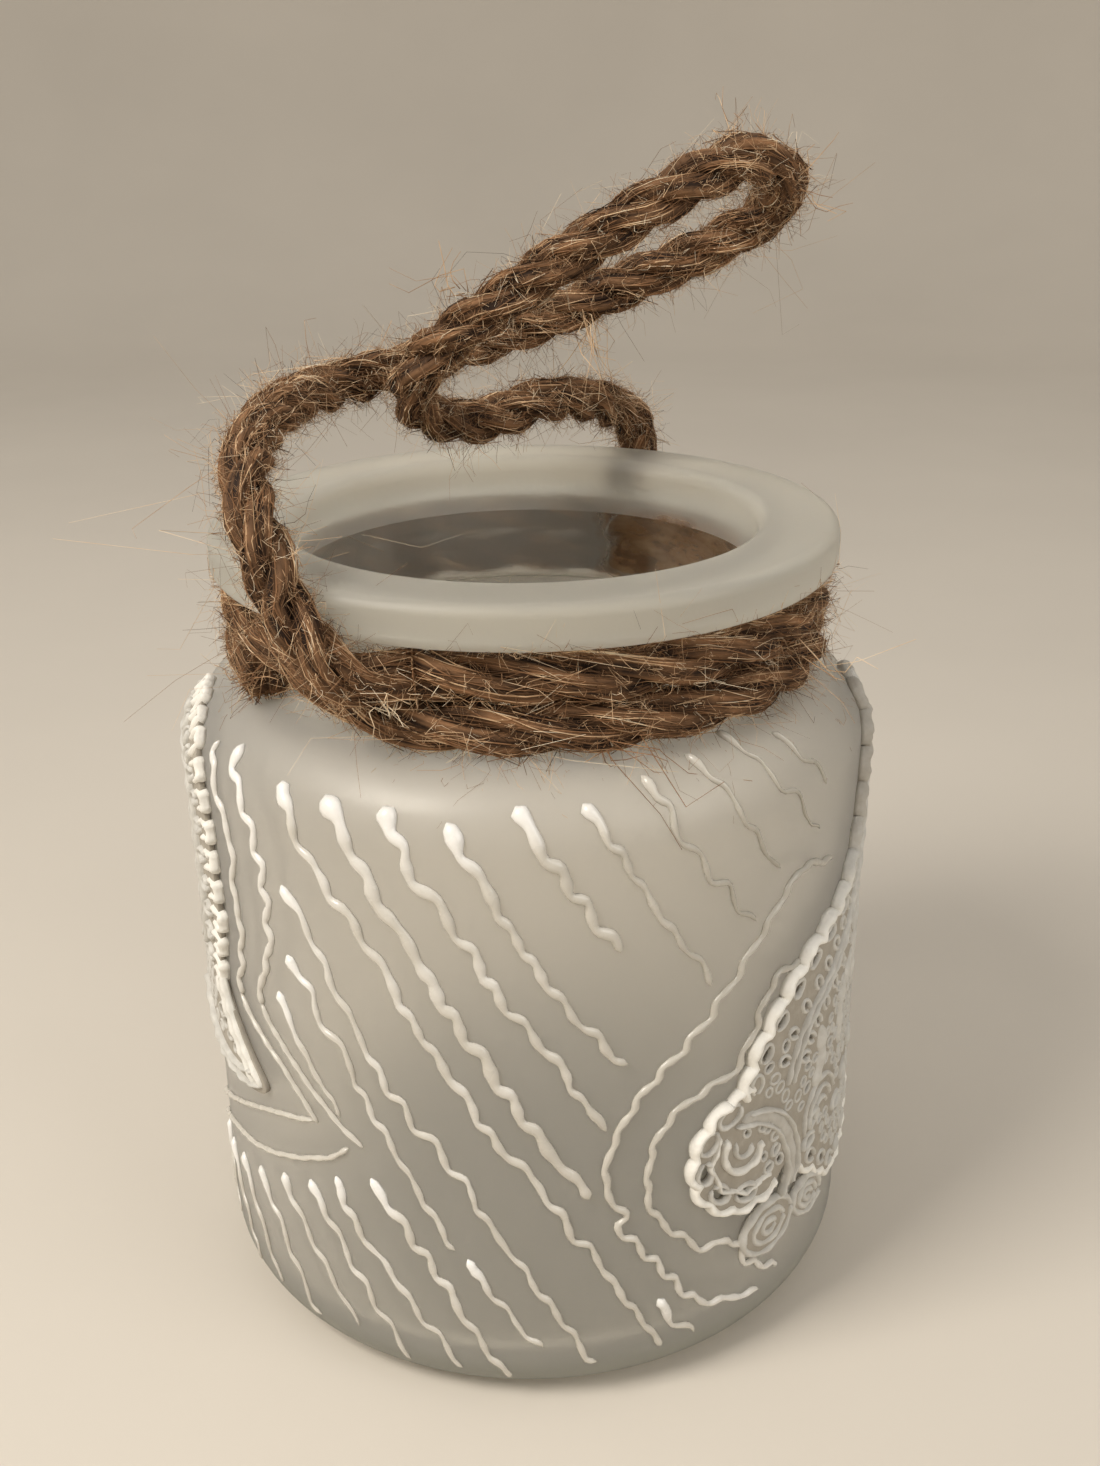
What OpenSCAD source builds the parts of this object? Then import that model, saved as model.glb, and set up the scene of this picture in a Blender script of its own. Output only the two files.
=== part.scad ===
// Mason jar lantern: a satin-frosted glass jar with two turns of jute rope bound round its neck. The rope
// runs on into a standing handle. Raised contour-paint strokes and two openwork lace appliques sit on the
// glass. The origin is the centre of the base on the table, +Z is up and the front is -Y.
// Azimuth is measured from the front (-Y), and grows towards +X.

/* [Jar] */
// Overall height of the glass
jar_height = 124; // [112:1:150]
// Outside diameter of the body
body_diameter = 104; // [98:1:116]
// Thickness of the side wall
wall = 3; // [2.4:0.1:3.6]
// Thickness of the base in its middle
base_thickness = 6; // [4:0.5:9]
// Rounding of the heel, outside
heel_radius = 9; // [6:0.5:12]
// Rounding of the shoulder, outside
shoulder_radius = 11; // [9:0.5:12]
// Depth of the hollow under the base
punt_depth = 1.5; // [0.8:0.1:2.5]
// Width of the flat foot ring under the base
foot_width = 5; // [3:0.5:8]

/* [Rim] */
// Diameter of the mouth
mouth_diameter = 70; // [66:1:72]
// Thickness of the neck's wall
neck_wall = 3; // [2.4:0.1:3.6]
// Outside diameter of the flat rim
rim_diameter = 94; // [92:1:96]
// Height of the rim's side
rim_height = 6.5; // [5:0.5:8]
// Rounding of the rim's outer edges
rim_edge = 1.8; // [1:0.1:2.4]
// Rounding of the mouth's upper edge
mouth_edge = 2.3; // [1:0.1:3]

/* [Rope] */
// Diameter of the jute rope
rope_diameter = 7; // [6:0.1:7.4]
// Space between the neck and the rope bound round it
neck_clearance = 0.8; // [0.6:0.1:1.2]
// Space between the two turns
turn_clearance = 0.1; // [0.05:0.05:0.3]
// Azimuth of the rope's cut end
cut_end_azimuth = -60; // [-70:1:-55]
// Height of the axis on which the handle swings, above the rim
swing_above_rim = 3; // [3:0.5:6]
// Space between the handle's ends and the parts of the rope that stay still
swing_clearance = 0.3; // [0.2:0.05:0.5]

/* [Glue] */
// Azimuth at which the glue behind the turns starts
glue_start = 113; // [105:1:120]
// Arc of the glue behind the turns
glue_arc = 40; // [20:1:42]
// Thickness of the glue on the neck
glue_thickness = 2.2; // [1.5:0.1:3]
// Arc of the glue between the turns and the rope's tail
tack_arc = 10; // [6:1:14]

/* [Paint strokes] */
// Height of the heads of the strokes on the shoulder, below the rim's top
heads_below_top = 27; // [26:0.5:32]
// Azimuth between neighbouring strokes
stroke_pitch = 9.7; // [9.5:0.1:10.5]
// Turn of the strokes round the jar for each millimetre down, in degrees
stroke_lean = 0.69; // [0.6:0.01:0.75]
// Width of a stroke
stroke_width = 1.9; // [1.4:0.1:2.2]
// Height of a stroke above the glass
stroke_height = 0.9; // [0.5:0.1:1.3]
// Width of the drop at a stroke's head
head_width = 3.2; // [2.4:0.1:3.6]
// Sideways swing of the wavy line
wave_swing = 0.8; // [0:0.1:1]
// Length of one wave
wave_length = 9; // [7:0.5:12]
// Space left between the paint and the glass
paint_gap = 0.18; // [0.16:0.01:0.25]

/* [Lace] */
// Thickness of the openwork ground
lace_ground = 1.2; // [0.8:0.1:1.6]
// Thickness at the raised cords of the lace
lace_relief = 2.2; // [1.8:0.1:2.6]
// Diameter of the scallops along the edge
scallop_diameter = 4.4; // [3.6:0.1:4.8]
// Diameter of the holes in the scallops
scallop_hole = 1.8; // [1.2:0.1:2.2]
// Width of the raised cords
cord_width = 1.2; // [0.9:0.1:1.5]
// Space left between the lace and the glass
lace_gap = 0.08; // [0.05:0.01:0.15]

/* [Hidden] */

FINE = 96;
TUBE_SIDES = 10;
PAINT_STEP = 2.6;

body_r = body_diameter / 2;
mouth_r = mouth_diameter / 2;
neck_r = mouth_r + neck_wall;
rim_r = rim_diameter / 2;
rim_low = jar_height - rim_height;
rope_r = rope_diameter / 2;

// The turns lie straight under the rim, and the shoulder comes up to just below them.
turn_r = neck_r + neck_clearance + rope_r;
turn_pitch = rope_diameter + turn_clearance;
rim_room = 0.8;
shoulder_room = 0.6;
upper_turn_z = rim_low - rim_room - rope_r;
lower_turn_z = upper_turn_z - turn_pitch;
shoulder_top = lower_turn_z - rope_r - shoulder_room;
shoulder_z = shoulder_top - shoulder_radius;
neck_fillet = 1.5;

// The strokes and the lace are laid out on a jar 124 mm high and 104 mm across, and stretch with it.
function up(z) = z / 124 * jar_height;
function out(x) = x / 104 * body_diameter;

// ---------------------------------------------------------------- glass jar

module rounded_step(x, z, r) {
    // One outer corner of a profile, rounded towards +X and +Z
    translate([x - r, z - r]) circle(r, $fn = FINE);
}

module outer_profile() {
    square([body_r - heel_radius, shoulder_z]);
    translate([0, heel_radius]) square([body_r, shoulder_z - heel_radius]);
    translate([body_r - heel_radius, heel_radius]) circle(heel_radius, $fn = FINE);
    square([body_r - shoulder_radius, shoulder_top]);
    rounded_step(body_r, shoulder_top, shoulder_radius);
    square([neck_r, rim_low + rim_edge]);
    neck_to_shoulder();
    rim_profile();
}

module neck_to_shoulder() {
    difference() {
        translate([neck_r - 1, shoulder_top - 1]) square(neck_fillet + 1);
        translate([neck_r + neck_fillet, shoulder_top + neck_fillet]) circle(neck_fillet, $fn = FINE);
    }
}

module rim_profile() {
    translate([0, rim_low]) square([rim_r - rim_edge, rim_height - mouth_edge]);
    translate([mouth_r + mouth_edge, rim_low]) square([rim_r - rim_edge - mouth_r - mouth_edge, rim_height]);
    translate([0, rim_low + rim_edge]) square([rim_r, rim_height - 2 * rim_edge]);
    rounded_step(rim_r, jar_height, rim_edge);
    rounded_step(rim_r, rim_low + 2 * rim_edge, rim_edge);
    translate([mouth_r + mouth_edge, jar_height - mouth_edge]) circle(mouth_edge, $fn = FINE);
}

module inner_profile() {
    inner_r = body_r - wall;
    inner_heel = heel_radius - wall;
    inner_shoulder = shoulder_radius - wall;
    inner_top = shoulder_top - wall;
    translate([0, base_thickness + inner_heel])
        square([inner_r, shoulder_z - base_thickness - inner_heel]);
    translate([0, base_thickness]) square([inner_r - inner_heel, inner_top - base_thickness]);
    translate([inner_r - inner_heel, base_thickness + inner_heel]) circle(inner_heel, $fn = FINE);
    rounded_step(inner_r, inner_top, inner_shoulder);
    translate([0, inner_top - 1]) square([mouth_r, jar_height]);
    difference() {
        translate([mouth_r - 1, inner_top - 1]) square(neck_fillet + 1);
        translate([mouth_r + neck_fillet, inner_top + neck_fillet]) circle(neck_fillet, $fn = FINE);
    }
}

module punt_profile() {
    reach = body_r - heel_radius - foot_width;
    dome_r = (reach * reach + punt_depth * punt_depth) / (2 * punt_depth);
    intersection() {
        translate([0, punt_depth - dome_r]) circle(dome_r, $fn = FINE);
        translate([0, -1]) square([reach, 2 + punt_depth]);
    }
}

module glass_jar() {
    color([0.86, 0.9, 0.88]) rotate_extrude($fn = FINE) difference() {
        outer_profile();
        inner_profile();
        punt_profile();
    }
}

// --------------------------------------------------------------- rope, swept

function unit(v) = v / norm(v);
function around(azimuth, radius, z) = [radius * sin(azimuth), -radius * cos(azimuth), z];
function clamp01(x) = min(1, max(0, x));
function eased(x) = let(t = clamp01(x)) t * t * (3 - 2 * t);

function directions(path) = [for (i = [0 : len(path) - 1])
    unit(path[min(i + 1, len(path) - 1)] - path[max(i - 1, 0)])];
// A frame that is carried along the path without turning about it
function carried(dirs, side, i = 0) = i == len(dirs) ? [] :
    let(s = unit(side - (side * dirs[i]) * dirs[i])) concat([s], carried(dirs, s, i + 1));

module tube(path, radius, first_side) {
    dirs = directions(path);
    sides = carried(dirs, first_side);
    last = len(path) - 1;
    points = [for (i = [0 : last], k = [0 : TUBE_SIDES - 1])
        let(a = 360 * k / TUBE_SIDES)
        path[i] + radius * (cos(a) * sides[i] + sin(a) * cross(dirs[i], sides[i]))];
    walls = [for (i = [0 : last - 1], k = [0 : TUBE_SIDES - 1])
        let(a = i * TUBE_SIDES + k, b = i * TUBE_SIDES + (k + 1) % TUBE_SIDES)
        each [[a, b + TUBE_SIDES, b], [a, a + TUBE_SIDES, b + TUBE_SIDES]]];
    start_cap = [for (k = [0 : TUBE_SIDES - 1]) k];
    end_cap = [for (k = [TUBE_SIDES - 1 : -1 : 0]) last * TUBE_SIDES + k];
    polyhedron(points, concat(walls, [start_cap, end_cap]), convexity = 10);
}

// The rope starts at its cut end on the lower level, climbs to the upper level just before the first turn
// is full, and leaves the neck as the handle's left leg after the second.
TURN_RINGS = 64;
climb_arc = 40;
bound_arc = 680;
swing_z = jar_height + swing_above_rim;
leg_r = rim_r + rope_r + 0.6;
left_azimuth = -38.8;
back_azimuth = 156.9;
left_swing = around(left_azimuth, leg_r, swing_z);
back_swing = around(back_azimuth, leg_r, swing_z);

function bound_point(w) = around(cut_end_azimuth - w, turn_r,
    lower_turn_z + turn_pitch * eased((w - 360 + climb_arc) / climb_arc));
leave_azimuth = cut_end_azimuth - bound_arc + 720;
bound_turns = [for (i = [0 : TURN_RINGS]) bound_point(bound_arc * i / TURN_RINGS)];
left_leg = [
    around(leave_azimuth - 4, turn_r + 2.7, upper_turn_z - 0.6),
    around(leave_azimuth - 8, turn_r + 5.7, upper_turn_z),
    around(leave_azimuth - 11, leg_r - 0.8, rim_low - 1.5),
    around(leave_azimuth - 14, leg_r, rim_low + 2.5),
    around(left_azimuth + 1.5, leg_r, swing_z - rope_r - swing_clearance)];

module neck_rope() {
    color([0.55, 0.41, 0.26]) tube(concat(bound_turns, left_leg), rope_r, around(cut_end_azimuth, 1, 0));
}

// The other end comes down behind the rim and is stuck to the turns.
tail_azimuth = 155.8;
tail_r = turn_r + 2 * rope_r + 0.6;
rope_tail_path = [
    around(back_azimuth, leg_r, swing_z - rope_r - swing_clearance),
    around(back_azimuth, leg_r + 0.3, rim_low + 2),
    around(tail_azimuth + 0.5, max(leg_r, tail_r) + 0.1, rim_low - 4),
    around(tail_azimuth, tail_r + 0.4, upper_turn_z - 3),
    around(tail_azimuth, tail_r, lower_turn_z)];

module rope_tail() {
    color([0.52, 0.38, 0.24]) tube(rope_tail_path, rope_r, around(back_azimuth, 1, 0));
}

// The handle's route between its two swinging ends. Heights are given above the rim's top.
HANDLE_ROUTE = [
    [-33.5, -38, 6.5], [-35, -35, 9.5], [-36, -29.5, 13], [-36.5, -21, 15], [-35, -11, 17],
    [-32.5, 0, 17.5], [-27, 11, 17.5], [-20, 19, 18], [-12.5, 23, 19.5], [-4, 25, 22],
    [5, 24.5, 25], [14, 23.5, 29], [23.5, 21.5, 33], [31.5, 19.5, 37], [36, 17.5, 40],
    [38.5, 13.5, 43.5], [38, 8, 46.5], [35, 3.5, 48.5], [31, 1, 49], [25, 0, 47],
    [18.5, 0, 43.5], [11.5, 0, 39.5], [4.5, 0, 35.5], [-3, 0.5, 30.5], [-9, 1.5, 26.5],
    [-13.5, 3.5, 22.5], [-16.5, 7, 17.5], [-15.5, 11, 13], [-11, 15, 10.5], [-4.5, 19.5, 10],
    [3, 25, 11.5], [9.5, 31.5, 10.5], [14, 37.5, 8.5], [17.5, 43, 6]];
handle_path = concat([left_swing], [for (p = HANDLE_ROUTE) [p[0], p[1], jar_height + p[2]]], [back_swing]);

module handle_rope() {
    color([0.57, 0.43, 0.27]) union() {
        tube(handle_path, rope_r, around(left_azimuth, 1, 0));
        for (p = [left_swing, back_swing]) translate(p) sphere(rope_r, $fn = 32);
    }
}

// ----------------------------------------------------------------------- glue

module bound_groove() {
    // What the two turns take from the glue
    for (z = [lower_turn_z, upper_turn_z]) translate([turn_r, z]) circle(rope_r + 0.25, $fn = FINE);
}

module glue_run(azimuth, arc, inner, low, thick, high) {
    // A run of glue round the jar, hollowed where the two turns press into it
    rotate([0, 0, azimuth - 90]) rotate_extrude(angle = arc, $fn = FINE) difference() {
        translate([inner, low]) square([thick, high]);
        bound_groove();
    }
}

module rope_glue() {
    // One run lies between the neck and the turns, and a short one between the turns and the rope's tail.
    groove_z = (lower_turn_z + upper_turn_z) / 2;
    low = lower_turn_z - 0.6 * rope_r;
    tack_in = turn_r + 0.3 * rope_r;
    tack_half = 0.75 * rope_r;
    color([0.9, 0.88, 0.8, 0.6]) {
        glue_run(glue_start, glue_arc, neck_r + 0.05, low, glue_thickness, turn_pitch + 1.2 * rope_r);
        glue_run(tail_azimuth - tack_arc / 2, tack_arc, tack_in, groove_z - tack_half,
            tail_r - rope_r - 0.1 - tack_in, 2 * tack_half);
    }
}

// ----------------------------------------------------------- paint on the glass

// The outside of the glass at a height, and the slope of its surface there
function below_heel(z) = max(0, heel_radius - z);
function above_shoulder(z) = min(shoulder_radius * 0.98, max(0, z - shoulder_z));
function glass_r(z) = body_r
    - (heel_radius - sqrt(heel_radius * heel_radius - below_heel(z) * below_heel(z)))
    - (shoulder_radius - sqrt(shoulder_radius * shoulder_radius - above_shoulder(z) * above_shoulder(z)));
function glass_tilt(z) = asin(above_shoulder(z) / shoulder_radius) - asin(below_heel(z) / heel_radius);
function glass_point(p) = around(p[0], glass_r(p[1]), p[1]);
function glass_normal(p) = let(t = glass_tilt(p[1])) [cos(t) * sin(p[0]), -cos(t) * cos(p[0]), sin(t)];

// A bead of paint follows points given as [azimuth, height]. Its section is a low arch of five points, and
// widths holds the width at each point.
ARCH = [[-0.5, 0], [-0.36, 0.72], [0, 1], [0.36, 0.72], [0.5, 0]];

module bead(route, widths, rise) {
    on_glass = [for (p = route) glass_point(p)];
    dirs = directions(on_glass);
    last = len(route) - 1;
    count = len(ARCH);
    points = [for (i = [0 : last], a = ARCH)
        let(up = glass_normal(route[i]), across = unit(cross(dirs[i], up)), w = widths[i])
        on_glass[i] + a[0] * w * across + (paint_gap + a[1] * rise * (0.6 + 0.4 * w / stroke_width)) * up];
    walls = [for (i = [0 : last - 1], k = [0 : count - 1])
        let(a = i * count + k, b = i * count + (k + 1) % count)
        each [[a, b, b + count], [a, b + count, a + count]]];
    start_cap = [for (k = [count - 1 : -1 : 0]) k];
    end_cap = [for (k = [0 : count - 1]) last * count + k];
    polyhedron(points, concat(walls, [start_cap, end_cap]), convexity = 10);
}

function wave(s, seed) = wave_swing * (sin(360 * s / wave_length + 97 * seed)
    + 0.3 * sin(360 * s / (0.47 * wave_length) + 41 * seed));
function stroke_w(s, total) = stroke_width * (1 - 0.35 * clamp01(s / total))
    + (head_width - stroke_width) * (1 - eased((s - 1.5) / 4));

// A straight-running wavy stroke: it starts at an azimuth and height and leans round the jar down to its foot
module stroke(azimuth, head_z, foot_z, seed) {
    total = (head_z - foot_z) * norm([1, lean * body_r * PI / 180]);
    steps = max(3, ceil(total / PAINT_STEP));
    tilt = atan(lean * body_r * PI / 180);
    route = [for (i = [0 : steps])
        let(s = total * i / steps, z = head_z - s * cos(tilt), off = wave(s, seed) * eased(s / 4))
        [azimuth + (s * sin(tilt) + off * cos(tilt)) / body_r * 180 / PI, max(z + off * sin(tilt), 1.2)]];
    widths = [for (i = [0 : steps]) stroke_w(total * i / steps, total)];
    bead(route, widths, stroke_height);
}

heads_z = jar_height - up(heads_below_top);
foot_z = up(6);
lean = stroke_lean / up(1);

// Where the strokes on the front shoulder end, from the left to the right
SHOULDER_FEET = [8, 42, 51, 58, 72, 69, 78, 85, 88, 91];
first_head = -41;

module shoulder_strokes() {
    color("white") for (i = [0 : len(SHOULDER_FEET) - 1])
        stroke(first_head + i * stroke_pitch, heads_z + up(min(4, 0.5 * i)), up(SHOULDER_FEET[i]), i);
}

// Second row: azimuth and height of each head, and the height of its foot
LOWER_ROW = [[-41, 82, 8], [-41, 71, 30], [-44, 64, 49], [-27, 37, 6], [-34, 35, 6], [-40, 32, 6],
    [-47, 30, 9], [-55, 27, 7], [-63, 25, 8], [-71, 23, 7], [-80, 22, 9], [-11, 26, 11], [20, 15, 8]];

module lower_strokes() {
    color("white") for (i = [0 : len(LOWER_ROW) - 1])
        stroke(LOWER_ROW[i][0], up(LOWER_ROW[i][1]), up(LOWER_ROW[i][2]), i + 20);
}

// Behind, the shoulder's row goes on from one applique to the other, and short strokes fill the corner below
// the right applique.
BACK_FEET = [8, 38, 9, 52, 8, 30, 10, 46, 8, 22, 12, 30, 46, 60, 74];
first_back_head = 105;
FILL_STROKES = 7;

module back_strokes() {
    color("white") {
        for (i = [0 : len(BACK_FEET) - 1])
            stroke(first_back_head + i * stroke_pitch, heads_z + up(1), up(BACK_FEET[i]), i + 40);
        for (k = [0 : FILL_STROKES - 1]) {
            head = up(75 - 9 * k);
            stroke(first_back_head + (heads_z - head) * lean - 11 * (k + 1), head, up(8), k + 60);
        }
    }
}

// Smooth curve through chosen points
function spline(p, n) = [for (i = [0 : len(p) - 2], k = [0 : n - 1])
    let(t = k / n, a = p[max(i - 1, 0)], b = p[i], c = p[i + 1], d = p[min(i + 2, len(p) - 1)])
    0.5 * (2 * b + (c - a) * t + (2 * a - 5 * b + 4 * c - d) * t * t + (3 * b - 3 * c + d - a) * t * t * t)];

module contour(points, n, seed, wavy) {
    smooth = spline(points, n);
    last = len(smooth) - 1;
    route = [for (i = [0 : last])
        [smooth[i][0] + wavy * 1.1 * sin(360 * i * PAINT_STEP / wave_length + 77 * seed), up(smooth[i][1])]];
    widths = [for (i = [0 : last]) stroke_width * (0.85 + 0.15 * cos(47 * i))];
    bead(route, widths, stroke_height);
}

// Two wavy lines run down beside the left applique and turn back under its leaf as pointed drops.
LEFT_INNER = [[-57, 99], [-58, 90], [-56, 80], [-57, 70], [-57, 62], [-50, 54], [-43, 48.5], [-37, 44.5]];
LEFT_INNER_BACK = [[-40.5, 43], [-50, 40], [-61, 36.5], [-74, 32]];
LEFT_OUTER = [[-48.5, 100], [-49, 90], [-47, 80], [-47, 70], [-49, 62], [-43, 54.5], [-35, 48], [-27, 42]];
LEFT_OUTER_BACK = [[-30.5, 40], [-40, 37], [-54, 33], [-66, 29.5], [-76, 27]];

module left_contour_lines() {
    color("white") {
        contour(LEFT_INNER, 3, 1, 1);
        contour(LEFT_INNER_BACK, 4, 2, 0);
        contour(LEFT_OUTER, 3, 3, 1);
        contour(LEFT_OUTER_BACK, 4, 4, 0);
    }
}

// Two wavy lines follow the right applique down its left side and under it.
RIGHT_OUTER = [[57, 82], [47, 81.5], [40, 76], [34, 70], [26, 63], [20, 57], [16, 51], [13, 45], [12, 38],
    [14, 31], [18, 25], [23, 19], [30, 12.5], [41, 8.5], [53, 8]];
RIGHT_INNER = [[46, 73], [40, 66], [34, 60], [27, 54], [21, 48], [18, 41], [19, 34], [24, 27], [31, 22],
    [36, 16], [44, 12], [55, 12]];

module right_contour_lines() {
    color("white") {
        contour(RIGHT_OUTER, 3, 5, 1);
        contour(RIGHT_INNER, 3, 6, 1);
    }
}

// -------------------------------------------------------------- lace appliques

// An applique is drawn flat, as seen square on, and cut from a skin of narrow flat staves on the glass. Its
// outline is a chain of discs [azimuth, height, radius]. A row of pierced scallops follows the outline
// wherever no other disc covers it, and each disc holds rings of holes and raised cords.
LEFT_DISCS = [[-77, 66, 11.5], [-77, 80, 10], [-74, 56.5, 8], [-76, 88, 5], [-68, 51, 5.5], [-62, 47.5, 3.4]];
RIGHT_DISCS = [[58, 49, 16.5], [39, 39, 10.5], [72, 60, 13.5], [68, 37, 12], [84, 76, 8.5], [87, 87, 5.5],
    [49, 22.5, 4.5]];
left_centre = -72;
right_centre = 63;
lace_mid = 50;
STAVES = 48;
scallop_pitch = 0.92 * scallop_diameter;
hole_pitch = 2.1 * scallop_hole;

// The lace is drawn for a jar 104 mm across and scaled with the jar, round the height lace_mid.
function flat(disc, centre) = [53.2 * sin(disc[0] - centre), disc[1]];
function on_ring(r, turn) = [r * cos(turn), r * sin(turn)];
// How far a point is outside the nearest disc, of those listed from number a to number b, leaving out one
function outside(p, discs, centre, a, b, but) = min([1000, for (j = [a : 1 : b])
    if (j != but) norm(p - flat(discs[j], centre)) - discs[j][2]]);
function scallops(discs, centre, clear) = [for (i = [0 : len(discs) - 1])
    let(r = discs[i][2], count = ceil(2 * PI * r / scallop_pitch))
    for (k = [0 : count - 1])
        let(p = flat(discs[i], centre) + on_ring(r, 360 * k / count))
        if (outside(p, discs, centre, 0, len(discs) - 1, i) > clear) p];
// Rings of holes in every disc; where two discs cover each other, the first one's holes stay
function holes(discs, centre) = [for (i = [0 : len(discs) - 1])
    for (r = [discs[i][2] - 4.1 : -4 : 0.27 * discs[i][2] + 2])
        let(count = floor(2 * PI * r / hole_pitch))
        for (k = [0 : count - 1])
            let(p = flat(discs[i], centre) + on_ring(r, 360 * (k + r) / count))
            if (outside(p, discs, centre, 0, i - 1, i) > 0.4) p];

module disc_cover(discs, centre, less) {
    for (d = discs) if (d[2] > less) translate(flat(d, centre)) circle(d[2] - less, $fn = 48);
}

module lace_ground_2d(discs, centre) {
    difference() {
        union() {
            disc_cover(discs, centre, 0);
            for (p = scallops(discs, centre, 0.2)) translate(p) circle(scallop_diameter / 2, $fn = 24);
        }
        // Where two discs meet, the scallops next to the corner stay whole.
        for (p = scallops(discs, centre, scallop_diameter / 2)) translate(p) circle(scallop_hole / 2, $fn = 16);
        for (p = holes(discs, centre)) translate(p) circle(0.6 * scallop_hole, $fn = 16);
        for (d = discs) translate(flat(d, centre)) circle(0.14 * d[2], $fn = 24);
    }
}

module lace_cords_2d(discs, centre) {
    // Raised cords: one along the outline, inside the scallops, and rings round each eye
    inset = scallop_hole / 2 + 0.15;
    difference() {
        disc_cover(discs, centre, inset);
        disc_cover(discs, centre, inset + cord_width);
    }
    for (d = discs) translate(flat(d, centre)) difference() {
        circle(0.27 * d[2] + cord_width / 2, $fn = 32);
        circle(0.27 * d[2] - cord_width / 2, $fn = 32);
    }
}

// Staves all round the jar, up to the shoulder's top
function stave_ring(r) = [for (i = [0 : STAVES - 1]) on_ring(r / cos(180 / STAVES), 360 * i / STAVES)];

module skin(from, to) {
    linear_extrude(shoulder_top) difference() {
        polygon(stave_ring(body_r + to));
        polygon(stave_ring(body_r + from));
    }
}

module on_body(centre) {
    rotate([0, 0, centre]) rotate([90, 0, 0]) linear_extrude(body_r + lace_relief + 10)
        translate([0, up(lace_mid)]) scale(out(1)) translate([0, -lace_mid]) children();
}

module applique(discs, centre) {
    color([0.96, 0.95, 0.91]) union() {
        intersection() {
            skin(lace_gap, lace_ground);
            on_body(centre) lace_ground_2d(discs, centre);
        }
        intersection() {
            skin(lace_gap, lace_relief);
            on_body(centre) lace_cords_2d(discs, centre);
        }
    }
}

module lace_applique_left() { applique(LEFT_DISCS, left_centre); }
module lace_applique_right() { applique(RIGHT_DISCS, right_centre); }

glass_jar();
neck_rope();
rope_tail();
handle_rope();
rope_glue();
lace_applique_left();
lace_applique_right();
shoulder_strokes();
lower_strokes();
back_strokes();
left_contour_lines();
right_contour_lines();
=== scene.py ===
"""Looks for the mason jar lantern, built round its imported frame.

The glass is turned from one profile. The rope is one route: two turns round the neck, a standing handle and a
tail. Its plies, its fibres and its fuzz all follow that route. Paint and lace lie on the glass: their
drawings are flat, with the way round the jar as x and the way up its side as y, and are wrapped on it.
"""

import math

import bmesh
import bpy
import numpy as np
from bpy.props import FloatProperty, FloatVectorProperty, IntProperty, PointerProperty
from mathutils import Matrix, Vector


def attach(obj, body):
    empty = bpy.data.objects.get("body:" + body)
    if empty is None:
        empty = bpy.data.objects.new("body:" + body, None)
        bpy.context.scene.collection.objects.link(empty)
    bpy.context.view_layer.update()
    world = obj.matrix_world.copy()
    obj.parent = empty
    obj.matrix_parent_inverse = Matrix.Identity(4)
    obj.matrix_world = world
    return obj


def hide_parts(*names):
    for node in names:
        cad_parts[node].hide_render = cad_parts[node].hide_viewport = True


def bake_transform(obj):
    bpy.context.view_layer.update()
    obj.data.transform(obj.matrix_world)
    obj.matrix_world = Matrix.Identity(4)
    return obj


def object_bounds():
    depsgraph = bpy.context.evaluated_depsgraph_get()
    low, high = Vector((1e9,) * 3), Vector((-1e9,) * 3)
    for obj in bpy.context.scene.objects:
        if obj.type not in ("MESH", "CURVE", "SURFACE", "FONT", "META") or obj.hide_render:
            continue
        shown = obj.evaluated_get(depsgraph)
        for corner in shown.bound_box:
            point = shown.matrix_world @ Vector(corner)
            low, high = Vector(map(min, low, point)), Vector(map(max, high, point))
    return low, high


bl_info = {
    "name": "Frosted Jar Lantern",
    "version": (1, 0, 0),
    "blender": (4, 5, 0),
    "location": "3D View > Sidebar > Lantern",
    "description": "A satin glass jar with raised paint, lace appliques and a jute rope handle",
    "category": "Object",
}

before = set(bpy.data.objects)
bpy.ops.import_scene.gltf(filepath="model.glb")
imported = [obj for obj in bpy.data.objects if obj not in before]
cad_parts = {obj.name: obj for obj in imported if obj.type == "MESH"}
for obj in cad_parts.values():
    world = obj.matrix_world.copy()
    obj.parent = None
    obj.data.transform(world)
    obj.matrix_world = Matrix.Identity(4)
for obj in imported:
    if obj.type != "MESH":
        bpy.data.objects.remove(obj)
CAD_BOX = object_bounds()
MM = 0.001
# Hairs end within this box, a little larger than the solids'
HAIR_ROOM = 9 * MM
LOOKS_LOW, LOOKS_HIGH = np.array(CAD_BOX[0]) - HAIR_ROOM, np.array(CAD_BOX[1]) + HAIR_ROOM
# The glass in millimetres: radii, height, and the roundings of its outside at the foot and the shoulder
BODY, NECK, MOUTH, RIM, HEIGHT = 52.0, 38.0, 35.0, 47.0, 124.0
HEEL, SHOULDER, SHOULDER_START = 9.0, 11.0, 91.0
NECK_START, RIM_START = SHOULDER_START + SHOULDER, 117.5

# ------------------------------------------------------------------ sizes and colours


def length(name, text, mm):
    """A length property, given in millimetres."""
    return FloatProperty(name=name, description=text, default=mm * MM, min=0, unit="LENGTH")


def colour(name, text, value):
    """A colour property."""
    return FloatVectorProperty(
        name=name, description=text, default=value, size=3, min=0, max=1, subtype="COLOR"
    )


def number(name, text, value, subtype="NONE"):
    """A plain number property, a factor or a power."""
    return FloatProperty(name=name, description=text, default=value, min=0, subtype=subtype)


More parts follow.
